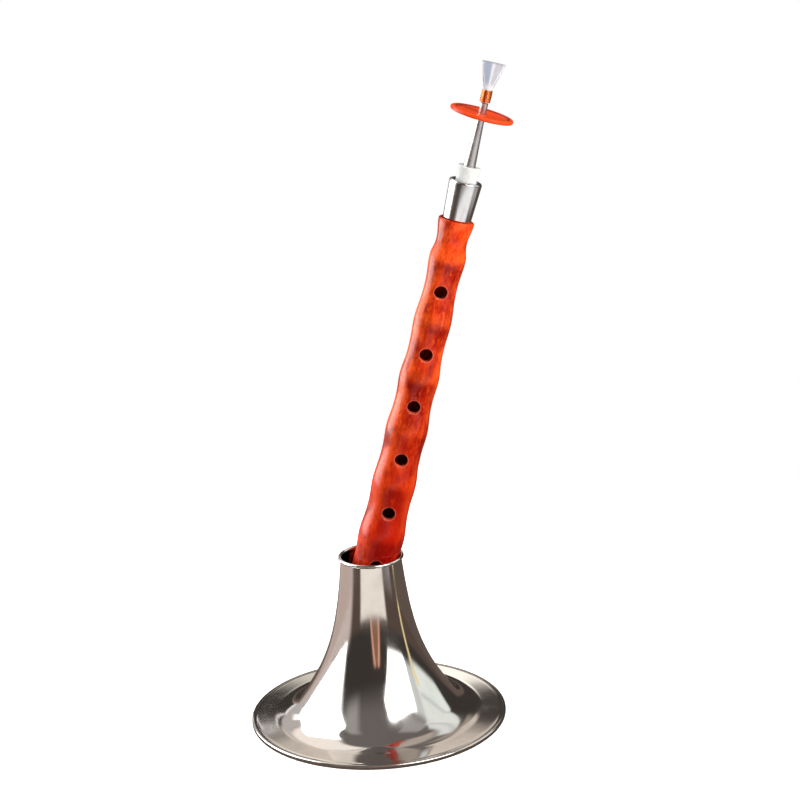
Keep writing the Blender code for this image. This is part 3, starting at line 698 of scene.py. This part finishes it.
@dataclass
class WoodenPipe(Piece):
    """The ridged wooden pipe, bored, socketed and drilled."""

    sizes: PipeSizes = field(default_factory=PipeSizes)

    def swell(self, station: float) -> float:
        """How much the ridges add to the cone at a station."""
        sizes = self.sizes
        for crest, upper, lower in zip(sizes.ridges, sizes.waists, sizes.waists[1:]):
            if lower <= station <= upper:
                limit = upper if station > crest else lower
                share = (station - crest) / (limit - crest)
                height = sizes.top_ridge_height if crest == sizes.ridges[0] else sizes.ridge_height
                return height * (0.5 + 0.5 * math.cos(math.pi * share)) ** sizes.ridge_sharpness
        return 0.0

    def waist_radius(self, station: float) -> float:
        """The plain cone's radius at a station."""
        sizes = self.sizes
        return sizes.foot_cone_radius + (sizes.top_radius - sizes.foot_cone_radius) * station / sizes.length

    def radius(self, station: float) -> float:
        """The outside radius at a station."""
        sizes = self.sizes
        radius = self.waist_radius(station) + self.swell(station)
        if station > sizes.waists[0]:
            share = (station - sizes.waists[0]) / sizes.top_rim_length
            radius += (sizes.top_rim_radius - sizes.top_radius) * math.sin(0.5 * math.pi * share) ** 2
        if station < sizes.foot_flare:
            share = 1.0 - station / sizes.foot_flare
            radius += (sizes.foot_radius - sizes.foot_cone_radius) * share ** sizes.foot_flare_power
        return radius

    def cutter(self, station: float, side: float) -> bpy.types.Mesh:
        """A drill with a rounded countersink, lying across the pipe at a station."""
        sizes = self.sizes
        surface = self.radius(station)
        mouth = sizes.hole_radius + sizes.hole_chamfer
        rim = arc(Vector((mouth, surface - sizes.hole_chamfer)), sizes.hole_chamfer, 0.5 * math.pi, math.pi, 8)
        beyond = surface + 4.0 * sizes.hole_chamfer
        outline = [Vector((0.0, beyond)), Vector((mouth, beyond))] + rim + [
            Vector((sizes.hole_radius, 0.0)), Vector((0.0, 0.0))]
        mesh = Meshes.turned("drill", outline, 64, hollow=False)
        mesh.transform(Matrix.Translation((0.0, 0.0, station)) @ Matrix.Rotation(side * 0.5 * math.pi, 4, 'X'))
        return mesh

    def drill(self, mesh: bpy.types.Mesh) -> bpy.types.Mesh:
        """Cut the finger holes and the thumb hole."""
        body = bpy.data.objects.new("pipe_blank", mesh)
        bpy.context.collection.objects.link(body)
        drills = []
        for station, side in [(at, 1.0) for at in self.sizes.front_holes] + [(self.sizes.thumb_hole, -1.0)]:
            tool = bpy.data.objects.new("drill", self.cutter(station, side))
            bpy.context.collection.objects.link(tool)
            cut = body.modifiers.new("drill", 'BOOLEAN')
            cut.operation, cut.object = 'DIFFERENCE', tool
            drills.append(tool)
        evaluated = body.evaluated_get(bpy.context.evaluated_depsgraph_get())
        result = bpy.data.meshes.new_from_object(evaluated)
        result.name = self.name
        for extra in drills + [body]:
            bpy.data.objects.remove(extra)
        result.shade_smooth()
        result.set_sharp_from_angle(angle=Meshes.SMOOTH_ANGLE)
        return result

    def mesh(self) -> bpy.types.Mesh:
        sizes = self.sizes
        end = sizes.length - sizes.top_edge
        top = arc(Vector((self.radius(sizes.length) - sizes.top_edge, end)), sizes.top_edge, 0.5 * math.pi, 0.0, 8)
        foot = arc(Vector((sizes.foot_radius - sizes.foot_edge, sizes.foot_edge)), sizes.foot_edge,
                   0.0, -0.5 * math.pi, 10)
        stations = even_steps(end, sizes.foot_edge, sizes.row_spacing)[1:-1]
        outside = [Vector((self.radius(station), station)) for station in stations]
        floor = sizes.length - sizes.socket_depth
        narrowing = (sizes.bore_top_radius - sizes.bore_foot_radius) / sizes.length
        bore = [Vector((sizes.bore_foot_radius + narrowing * station, station))
                for station in even_steps(0.0, floor, 6.0 * MM)]
        socket = [Vector((sizes.socket_radius, floor)), Vector((sizes.socket_radius, sizes.length - 0.3 * MM)),
                  Vector((sizes.socket_radius + 0.3 * MM, sizes.length))]
        blank = Meshes.turned("pipe_blank", top + outside + foot + bore + socket, sizes.segments)
        return self.drill(blank)


@dataclass
class TuningTube(Piece):
    """The tuning tube: a flared barrel with a rounded mouth on a spigot."""

    height: float = 20.1 * MM
    foot_radius: float = 7.3 * MM
    top_radius: float = 8.4 * MM
    floor: float = 1.6 * MM
    edge: float = 1.1 * MM
    bore: float = 5.6 * MM
    spigot_radius: float = 4.4 * MM
    airway: float = 3.1 * MM

    def mesh(self) -> bpy.types.Mesh:
        shoulder = self.place.length - self.height
        mouth = arc(Vector((self.top_radius - self.edge, self.place.length - self.edge)), self.edge,
                    0.5 * math.pi, 0.0, 12)
        lower = 0.5 * self.edge
        heel = arc(Vector((self.foot_radius - lower, shoulder + lower)), lower, 0.0, -0.5 * math.pi, 6)
        inner = 0.35 * self.edge
        inside = arc(Vector((self.bore + inner, self.place.length - inner)), inner, math.pi, 0.5 * math.pi, 6)
        outline = mouth + heel + [
            Vector((self.spigot_radius, shoulder)), Vector((self.spigot_radius, 0.0)), Vector((self.airway, 0.0)),
            Vector((self.airway, shoulder + self.floor)), Vector((self.bore, shoulder + self.floor))] + inside
        return Meshes.turned(self.name, outline, 128)


@dataclass
class ThreadWrap(Piece):
    """Thread wound on the tuning tube's spigot: one even layer; the layer under it is not built."""

    thread_radius: float = 0.2 * MM
    lower_radius: float = 4.9 * MM
    upper_radius: float = 5.27 * MM

    def mesh(self) -> bpy.types.Mesh:
        pitch = 2.05 * self.thread_radius
        turns = int((self.place.length - 2.0 * self.thread_radius) / pitch)
        steps = 24
        points = []
        for step in range(turns * steps + 1):
            angle = math.tau * step / steps
            height = self.thread_radius + pitch * step / steps
            points.append(Vector((self.upper_radius * math.cos(angle), self.upper_radius * math.sin(angle), height)))
        return Meshes.wire(self.name, points, self.thread_radius, 6)


@dataclass
class StapleSleeve(Piece):
    """The translucent sleeve that seats the staple."""

    radius: float = 5.3 * MM
    top_radius: float = 5.8 * MM
    showing: float = 7.4 * MM
    room: float = 0.3 * MM
    staple_base: float = 4.2 * MM
    staple_stem: float = 2.0 * MM
    staple_cone: float = 47.8 * MM
    staple_seat: float = 0.8 * MM

    def mesh(self) -> bpy.types.Mesh:
        length = self.place.length
        edge = 0.3 * MM

        def bore(at: float) -> Point:
            share = min(max((at - self.staple_seat) / self.staple_cone, 0.0), 1.0)
            return Vector((self.staple_base + (self.staple_stem - self.staple_base) * share + self.room, at))

        top = arc(Vector((self.top_radius - edge, length - edge)), edge, 0.5 * math.pi, 0.0, 6)
        outside = top + [Vector((self.radius, length - self.showing)), Vector((self.radius, 0.0))]
        inside = [bore(at) for at in even_steps(0.0, length, 4.0 * MM)]
        return Meshes.turned(self.name, outside + inside, 96)


@dataclass
class Staple(Piece):
    """The conical staple with its stem and the tip that holds the reed."""

    base_radius: float = 4.2 * MM
    stem_radius: float = 2.0 * MM
    tip_radius: float = 1.25 * MM
    wall: float = 0.4 * MM
    cone: float = 47.8 * MM
    stem: float = 9.5 * MM

    def mesh(self) -> bpy.types.Mesh:
        top = self.cone + self.stem
        tip = self.place.length
        outside = [Vector(point) for point in ((self.tip_radius, tip), (self.tip_radius, top + self.wall))]
        outside += [Vector((self.stem_radius - 0.1 * MM, top)), Vector((self.stem_radius, top - 0.1 * MM))]
        blend = 3.0 * MM
        for step in range(9):
            share = step / 8
            at = self.cone + blend * (1.0 - 2.0 * share)
            rate = (self.base_radius - self.stem_radius) / self.cone
            outside.append(Vector((self.stem_radius + rate * blend * share ** 2, at)))
        outside += [Vector((self.base_radius, 0.0)), Vector((self.base_radius - self.wall, 0.0))]
        inside = [Vector((self.tip_radius - self.wall, top)), Vector((self.tip_radius - self.wall, tip))]
        return Meshes.turned(self.name, outside + inside, 96)


@dataclass
class LipDisc(Piece):
    """The lip disc, with its rounded edge and a dished upper side."""

    radius: float = 16.2 * MM
    thickness: float = 2.0 * MM
    edge: float = 0.85 * MM
    bore: float = 2.342 * MM
    rim: float = 2.2 * MM
    dish: float = 0.6 * MM

    def mesh(self) -> bpy.types.Mesh:
        upper = arc(Vector((self.radius - self.edge, self.thickness - self.edge)), self.edge, 0.5 * math.pi, 0.0, 12)
        lower = arc(Vector((self.radius - self.edge, self.edge)), self.edge, 0.0, -0.5 * math.pi, 12)
        small = 0.15 * MM
        floor, inner = self.thickness - self.dish, self.radius - self.rim
        hole = [Vector((self.bore + small, 0.0)), Vector((self.bore, small)),
                Vector((self.bore, floor - small)), Vector((self.bore + small, floor))]
        slope = [(inner - self.dish - small, 0.0), (inner - self.dish, 0.2 * small),
                 (inner - self.dish + 0.8 * small, small), (inner - 0.8 * small, self.dish - small),
                 (inner, self.dish - 0.2 * small), (inner + small, self.dish)]
        wall = [Vector((radius, floor + rise)) for radius, rise in slope]
        return Meshes.turned(self.name, upper + lower + hole + wall, 160)


@dataclass
class Reed(Piece):
    """The reed: round at its root, pressed flat into a fan with a keel down each face."""

    wall: float = 0.3 * MM
    root_radius: float = 1.85 * MM
    binding: float = 6.7 * MM
    neck: float = 0.6 * MM
    shoulder: float = 2.3 * MM
    half_width: float = 5.95 * MM
    half_depth: float = 0.75 * MM
    segments: int = 72

    def ring(self, height: float, inner: bool) -> list[Point]:
        """One ring of the reed."""
        above = height - self.binding
        neck = min(max(above / self.neck, 0.0), 1.0)
        blade = min(max((above - self.neck) / (self.place.length - self.binding - self.neck), 0.0), 1.0)
        wall = self.wall if inner else 0.0
        wide = self.root_radius + (self.shoulder - self.root_radius) * neck
        wide += (self.half_width - self.shoulder) * blade ** 0.85 - wall * (1.0 + blade)
        deep = self.root_radius + (self.half_depth - self.root_radius) * math.sqrt(blade) - wall
        ring = []
        for step in range(self.segments):
            angle = math.tau * step / self.segments
            across = math.cos(angle)
            lens = math.copysign(1.0 - abs(across) ** 1.3, math.sin(angle))
            ring.append(Vector((wide * across, deep * (math.sin(angle) * (1.0 - blade) + lens * blade), height)))
        return ring

    def mesh(self) -> bpy.types.Mesh:
        heights = [0.0] + even_steps(0.5 * self.binding, self.place.length, 0.4 * MM)
        rings = [self.ring(height, False) for height in heights]
        rings += [self.ring(height, True) for height in heights[::-1]]
        return Meshes.rings(self.name, rings)


@dataclass
class ReedBinding(Piece):
    """Copper wire wound close round the reed's root."""

    wire_radius: float = 0.25 * MM
    inner_radius: float = 2.15 * MM
    bulge: float = 0.12 * MM
    height: float = 6.7 * MM

    def mesh(self) -> bpy.types.Mesh:
        pitch = 2.04 * self.wire_radius
        turns = int((self.height - 2.0 * self.wire_radius) / pitch)
        steps = 40
        total = turns * steps
        first = 0.5 * (self.height - turns * pitch)
        points = []
        for step in range(total + 1):
            share = step / total
            radius = self.inner_radius + self.wire_radius + self.bulge * math.sin(math.pi * share)
            angle = math.tau * step / steps
            points.append(Vector((radius * math.cos(angle), radius * math.sin(angle),
                                  first + turns * pitch * share)))
        return Meshes.wire(self.name, points, self.wire_radius, 10)


@dataclass(frozen=True)
class CameraFit:
    """The camera of the photograph, measured from the bell's axis at floor level."""

    position: tuple[float, float, float] = (0.0, -1.1506, 0.5270)
    yaw: float = math.radians(0.955)
    pitch: float = math.radians(17.0)
    roll: float = math.radians(-2.73)
    focal_pixels: float = 2338.9
    image_pixels: float = 800.0
    sensor: float = 36.0

    def build(self, bell_x: float) -> None:
        """Make the camera and make it the scene's."""
        forward = Vector((math.sin(self.yaw) * math.cos(self.pitch),
                          math.cos(self.yaw) * math.cos(self.pitch), -math.sin(self.pitch)))
        level = Vector((math.cos(self.yaw), -math.sin(self.yaw), 0.0))
        upright = level.cross(forward)
        right = math.cos(self.roll) * level + math.sin(self.roll) * upright
        up = -math.sin(self.roll) * level + math.cos(self.roll) * upright
        data = bpy.data.cameras.new("camera")
        data.sensor_width = self.sensor
        data.sensor_fit = 'HORIZONTAL'
        data.lens = self.focal_pixels / self.image_pixels * self.sensor
        camera = bpy.data.objects.new("camera", data)
        bpy.context.collection.objects.link(camera)
        turn = Matrix((right, up, -forward)).transposed().to_4x4()
        camera.matrix_world = Matrix.Translation(Vector(self.position) + Vector((bell_x, 0.0, 0.0))) @ turn
        bpy.context.scene.camera = camera


@dataclass(frozen=True)
class Softbox:
    """A soft-edged bright or dim panel of the studio, in degrees round the object.

    Azimuth 0 is towards the camera and 90 to the right; elevation is above the horizon. The sides run
    straight from their azimuths at the low end to those at the high end.
    """

    left: tuple[float, float]
    right: tuple[float, float]
    low: float
    high: float
    softness: float
    colour: Colour
    strength: float = 1.0


@dataclass(frozen=True)
class Card:
    """A curved card of light round the object, unseen by the camera; angles as for a softbox."""

    name: str
    radius: float
    first: float
    last: float
    low: float
    high: float
    colour: Colour
    strength: float
    softness: float = 4.0

    def build(self) -> None:
        """Make the card and stage it."""
        material = bpy.data.materials.new(self.name)
        material.use_nodes = True
        tree = material.node_tree
        shade = Shade(tree)
        tree.nodes.remove(tree.nodes["Principled BSDF"])
        local = shade.node("ShaderNodeTexCoord").outputs["Object"]
        x, y, _ = shade.node("ShaderNodeSeparateXYZ", {"Vector": local}).outputs
        azimuth = shade.math('DEGREES', shade.math('ARCTAN2', x, shade.math('MULTIPLY', y, -1.0)))
        inside = shade.math('MULTIPLY', shade.ramp(azimuth, self.first, self.first + 2.0 * self.softness),
                            shade.ramp(azimuth, self.last - 2.0 * self.softness, self.last, 1.0, 0.0))
        light = shade.node("ShaderNodeEmission", {"Color": (*self.colour, 1.0), "Strength": self.strength})
        clear = shade.node("ShaderNodeBsdfTransparent")
        faded = shade.node("ShaderNodeMixShader", {0: inside, 1: clear.outputs[0], 2: light.outputs[0]})
        tree.links.new(faded.outputs[0], tree.nodes["Material Output"].inputs["Surface"])
        bm = bmesh.new()
        steps = 24
        columns = []
        for step in range(steps + 1):
            angle = math.radians(self.first + (self.last - self.first) * step / steps)
            foot = Vector((self.radius * math.sin(angle), -self.radius * math.cos(angle), 0.0))
            columns.append([bm.verts.new(foot + Vector((0.0, 0.0, height))) for height in (self.low, self.high)])
        for left, right in zip(columns, columns[1:]):
            bm.faces.new((left[0], right[0], right[1], left[1]))
        mesh = bpy.data.meshes.new(self.name)
        bm.to_mesh(mesh)
        bm.free()
        mesh.materials.append(material)
        card = bpy.data.objects.new(self.name, mesh)
        bpy.context.collection.objects.link(card)
        card.visible_camera = False


class Studio:
    """The floor and the studio that surrounds the object."""

    FLOOR_RADIUS = 0.42
    ROOM = (0.055, 0.047, 0.042)
    CEILING = (0.19, 0.17, 0.16)
    BELOW = (0.12, 0.085, 0.07)
    BOXES = (
        Softbox((152.0, 158.0), (168.0, 168.0), 30.0, 48.0, 3.0, (0.46, 0.39, 0.33)),
        Softbox((165.0, 160.0), (195.0, 200.0), 27.8, 38.0, 1.2, (0.84, 0.74, 0.65)),
        Softbox((172.5, 172.5), (180.5, 180.5), 15.4, 21.0, 1.0, (1.0, 0.95, 0.87), 1.55),
        Softbox((-179.5, -179.5), (-174.5, -174.5), 15.4, 19.6, 1.0, (0.95, 0.90, 0.80)),
        Softbox((-176.0, -168.0), (-110.0, -110.0), 34.0, 66.0, 3.0, (1.26, 1.16, 1.08)),
        Softbox((-154.0, -159.0), (-122.0, -122.0), -6.0, 20.0, 1.5, (0.62, 0.58, 0.56)),
        Softbox((-159.0, -172.0), (-122.0, -122.0), 19.0, 33.5, 1.5, (0.62, 0.58, 0.56)),
        Softbox((-156.5, -160.5), (-154.0, -158.0), -8.0, 18.0, 0.6, (1.0, 0.96, 0.94), 1.3),
        Softbox((-161.0, -176.0), (-158.0, -172.5), 18.0, 26.5, 0.6, (1.0, 0.96, 0.94), 1.2),
        Softbox((-145.0, -140.0), (-72.0, -72.0), -16.0, 2.0, 7.0, (0.76, 0.65, 0.61)),
        Softbox((118.0, 118.0), (172.0, 172.0), 56.0, 74.0, 4.0, (0.60, 0.52, 0.46)),
        Softbox((38.0, 38.0), (84.0, 84.0), 40.0, 62.0, 5.0, (0.46, 0.44, 0.42)),
        Softbox((-60.0, -60.0), (-38.0, -38.0), 34.0, 60.0, 7.0, (0.44, 0.42, 0.40)),
        Softbox((-125.0, -130.0), (-79.0, -71.0), 6.0, 34.0, 6.0, (1.0, 0.99, 0.98), 4.6),
        Softbox((-136.0, -146.0), (-71.0, -60.0), 33.0, 44.0, 3.0, (1.0, 0.99, 0.98), 4.6),
        Softbox((-146.0, -112.0), (-60.0, -100.0), 44.0, 64.0, 3.0, (1.0, 0.99, 0.98), 4.6),
        Softbox((62.0, 62.0), (84.0, 84.0), 11.0, 38.0, 3.0, (0.80, 0.82, 0.80)),
        Softbox((80.0, 80.0), (121.0, 121.0), 8.0, 24.0, 2.5, (1.07, 1.15, 1.09)),
        Softbox((80.0, 80.0), (121.0, 158.0), 24.0, 44.0, 3.0, (1.05, 1.10, 1.05)),
        Softbox((80.0, 98.0), (158.0, 148.0), 44.0, 54.0, 3.0, (0.98, 1.00, 0.98)),
        Softbox((30.0, 13.0), (66.0, 67.0), 9.5, 36.0, 2.5, (1.0, 1.0, 1.0), 5.5),
        Softbox((12.0, 18.0), (67.0, 30.0), 36.0, 47.0, 2.5, (1.0, 1.0, 1.0), 5.5),
        Softbox((81.8, 81.8), (86.2, 86.2), -16.0, 20.0, 0.8, (1.18, 0.97, 0.50)),
        Softbox((-11.0, -8.0), (14.0, 9.0), -3.0, 17.0, 2.0, (0.34, 0.17, 0.11)),
        Softbox((-13.0, -5.0), (-8.5, -1.0), -3.0, 18.0, 1.0, (0.85, 0.46, 0.33)),
        Softbox((10.0, 2.5), (14.5, 6.5), -3.0, 18.0, 1.0, (0.85, 0.46, 0.33)),
        Softbox((-34.0, -28.0), (20.0, 20.0), -16.0, -3.0, 3.0, (0.42, 0.41, 0.40)),
        Softbox((-22.0, -22.0), (66.0, 66.0), -45.0, -12.0, 4.0, (0.95, 0.94, 0.94), 1.45),
        Softbox((62.0, 62.0), (104.0, 104.0), -31.0, -22.0, 3.0, (0.62, 0.60, 0.59)),
    )
    CARDS = (
        Card("left_strip", 0.78, -136.0, -84.0, 0.10, 0.29, (1.0, 0.99, 0.98), 9.5),
        Card("left_card", 0.80, -134.0, -74.0, 0.057, 0.50, (1.0, 0.99, 0.98), 4.6),
        Card("left_dim_card", 0.81, -148.0, -118.0, 0.22, 0.36, (1.0, 0.99, 0.98), 1.6),
        Card("front_card", 0.54, -45.0, 40.0, -0.020, 0.037, (1.0, 0.93, 0.85), 1.15, 4.0),
    )
    LAMP_PLACE = (0.42, -0.30, 0.44)
    LAMP_AIM = (0.05, 0.0, 0.28)
    LAMP_SIZE = 0.25
    LAMP_POWER = 3.0

    def floor(self) -> None:
        """A round floor that the camera sees as white, with a soft contact shadow.

        To the light that bounces off it the floor is a dim warm one, as the metal shows it, and a patch at its left
        glows warm, as a light that the metal reflects.
        """
        material = bpy.data.materials.new("floor")
        material.use_nodes = True
        tree = material.node_tree
        shade = Shade(tree)
        tree.nodes.remove(tree.nodes["Principled BSDF"])
        diffuse = shade.node("ShaderNodeBsdfDiffuse", {"Color": (0.80, 0.80, 0.80, 1.0)})
        glow = shade.node("ShaderNodeEmission", {"Color": (1.0, 1.0, 1.0, 1.0), "Strength": 0.62})
        both = shade.node("ShaderNodeAddShader", {0: diffuse.outputs[0], 1: glow.outputs[0]})
        dim = shade.node("ShaderNodeBsdfDiffuse", {"Color": (0.09, 0.07, 0.06, 1.0)})
        local = shade.node("ShaderNodeTexCoord").outputs["Object"]
        x, y, _ = shade.node("ShaderNodeSeparateXYZ", {"Vector": local}).outputs
        # A glowing warm patch on the floor's left, seen only by bounced light.
        behind = shade.ramp(shade.math('ADD', y, shade.math('MULTIPLY', x, 2.2)), -0.02, 0.03, 1.0, 0.0)
        side = shade.node("ShaderNodeEmission", {
            "Color": (0.60, 0.48, 0.44, 1.0),
            "Strength": shade.math('MULTIPLY', behind, shade.ramp(x, -0.16, -0.07, 0.85, 0.0))})
        bounce = shade.node("ShaderNodeAddShader", {0: dim.outputs[0], 1: side.outputs[0]})
        path = shade.node("ShaderNodeLightPath")
        mix = shade.node("ShaderNodeMixShader", {0: path.outputs["Is Camera Ray"], 1: bounce.outputs[0],
                                                 2: both.outputs[0]})
        tree.links.new(mix.outputs[0], tree.nodes["Material Output"].inputs["Surface"])
        bm = bmesh.new()
        bmesh.ops.create_circle(bm, cap_ends=True, segments=96, radius=self.FLOOR_RADIUS)
        mesh = bpy.data.meshes.new("floor")
        bm.to_mesh(mesh)
        bm.free()
        mesh.materials.append(material)
        floor = bpy.data.objects.new("floor", mesh)
        bpy.context.collection.objects.link(floor)

    @staticmethod
    def _panel(shade: Shade, entry: bpy.types.Node) -> dict:
        """How much of a panel lies in a direction."""
        value = entry.outputs
        level, soft = value["Elevation"], value["Softness"]
        rise = shade.node("ShaderNodeMapRange", {"Value": level, "From Min": value["Low"], "From Max": value["High"]})
        rise = rise.outputs["Result"]
        sides = []
        for side in ("Left", "Right"):
            lean = shade.math('SUBTRACT', value[f"{side} High"], value[f"{side} Low"])
            sides.append(shade.math('ADD', value[f"{side} Low"], shade.math('MULTIPLY', rise, lean)))
        centre = shade.math('MULTIPLY', shade.math('ADD', *sides), 0.5)
        half = shade.math('MULTIPLY', shade.math('SUBTRACT', sides[1], sides[0]), 0.5)
        turn = shade.math('SUBTRACT', value["Azimuth"], centre)
        nearest = shade.node("ShaderNodeMath", {0: turn, 1: 180.0, 2: -180.0}, operation='WRAP').outputs[0]
        across = shade.ramp(shade.math('ABSOLUTE', nearest), shade.math('SUBTRACT', half, soft),
                            shade.math('ADD', half, soft), 1.0, 0.0)
        above = shade.ramp(level, shade.math('SUBTRACT', value["Low"], soft), shade.math('ADD', value["Low"], soft))
        below = shade.ramp(level, shade.math('SUBTRACT', value["High"], soft),
                           shade.math('ADD', value["High"], soft), 1.0, 0.0)
        return {"Value": shade.math('MULTIPLY', across, shade.math('MULTIPLY', above, below))}

    def surroundings(self) -> None:
        """White to the camera; to everything else a dim warm room with panels of light."""
        numbers = [(label, "NodeSocketFloat", 0.0) for label in
                   ("Azimuth", "Elevation", "Left Low", "Left High", "Right Low", "Right High", "Low", "High",
                    "Softness")]
        panel = effect_group("studio_panel", numbers, [("Value", "NodeSocketFloat")], self._panel)
        world = bpy.data.worlds.new("studio")
        world.use_nodes = True
        bpy.context.scene.world = world
        shade = Shade(world.node_tree)
        direction = shade.node("ShaderNodeTexCoord").outputs["Generated"]
        x, y, z = shade.node("ShaderNodeSeparateXYZ", {"Vector": direction}).outputs
        azimuth = shade.math('DEGREES', shade.math('ARCTAN2', x, shade.math('MULTIPLY', y, -1.0)))
        elevation = shade.math('DEGREES', shade.math('ARCSINE', z))
        colour = shade.mix(shade.ramp(elevation, 24.0, 46.0), self.ROOM, self.CEILING)
        colour = shade.mix(shade.ramp(elevation, -2.0, 2.0, 1.0, 0.0), colour, self.BELOW)
        for box in self.BOXES:
            mask = shade.node("ShaderNodeGroup", node_tree=panel)
            for label, value in (("Left Low", box.left[0]), ("Left High", box.left[1]),
                                 ("Right Low", box.right[0]), ("Right High", box.right[1]),
                                 ("Low", box.low), ("High", box.high), ("Softness", box.softness)):
                mask.inputs[label].default_value = value
            shade.tree.links.new(azimuth, mask.inputs["Azimuth"])
            shade.tree.links.new(elevation, mask.inputs["Elevation"])
            bright = tuple(part * box.strength for part in box.colour)
            colour = shade.mix(mask.outputs[0], colour, bright)
        room = shade.node("ShaderNodeBackground", {"Color": colour, "Strength": 1.0})
        white = shade.node("ShaderNodeBackground", {"Color": (1.0, 1.0, 1.0, 1.0), "Strength": 1.0})
        path = shade.node("ShaderNodeLightPath").outputs
        seen = shade.math('MAXIMUM', path["Is Camera Ray"], path["Is Transmission Ray"])
        mix = shade.node("ShaderNodeMixShader", {0: seen, 1: room.outputs[0], 2: white.outputs[0]})
        world.node_tree.links.new(mix.outputs[0], world.node_tree.nodes["World Output"].inputs["Surface"])

    def lamp(self) -> None:
        """A soft lamp at the right that warms that side of the wood and stays out of the reflections."""
        data = bpy.data.lights.new("right_lamp", 'AREA')
        data.shape, data.size, data.energy = 'DISK', self.LAMP_SIZE, self.LAMP_POWER
        data.color = (1.0, 0.93, 0.85)
        lamp = bpy.data.objects.new("right_lamp", data)
        bpy.context.collection.objects.link(lamp)
        place = Vector(self.LAMP_PLACE)
        turn = (Vector(self.LAMP_AIM) - place).to_track_quat('-Z', 'Y').to_matrix().to_4x4()
        lamp.matrix_world = Matrix.Translation(place) @ turn
        lamp.visible_glossy = False

    def build(self) -> None:
        """Make all of it."""
        self.floor()
        self.surroundings()
        for card in self.CARDS:
            card.build()
        self.lamp()


class Suona:
    """The whole object: one finished piece for each CAD node."""

    def __init__(self) -> None:
        lean = PIPE_LEAN
        self.pieces: tuple[Piece, ...] = (
            BellShell("bell_shell", Body.BELL, Finishes.NICKEL),
            BrimWire("brim_wire", Body.BELL, Finishes.STEEL),
            WoodenPipe("wooden_pipe", Body.PIPE, Finishes.WOOD, lean),
            TuningTube("tuning_tube", Body.TUNING, Finishes.SILVER, lean),
            ThreadWrap("thread_wrap", Body.TUNING, Finishes.THREAD, lean),
            StapleSleeve("staple_sleeve", Body.STAPLE, Finishes.PLASTIC, lean),
            Staple("staple", Body.STAPLE, Finishes.SATIN, lean),
            LipDisc("lip_disc", Body.DISC, Finishes.RED, lean + DISC_TILT),
            Reed("reed", Body.REED, Finishes.FILM, lean),
            ReedBinding("reed_binding", Body.REED, Finishes.COPPER, lean, seat="reed"),
        )

    def build(self) -> None:
        """Build every piece with its material."""
        materials = Materials()
        for piece in self.pieces:
            piece.build(materials)


def main() -> None:
    """Load the frame, dress it, light it and look at it."""
    logging.basicConfig(level=logging.INFO, format="%(name)s %(message)s")
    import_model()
    low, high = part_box("bell_shell")
    bell_x = 0.5 * (low[0] + high[0])
    Suona().build()
    Studio().build()
    CameraFit().build(bell_x)
    bpy.context.scene.view_settings.view_transform = 'Standard'


if __name__ == "__main__":
    main()
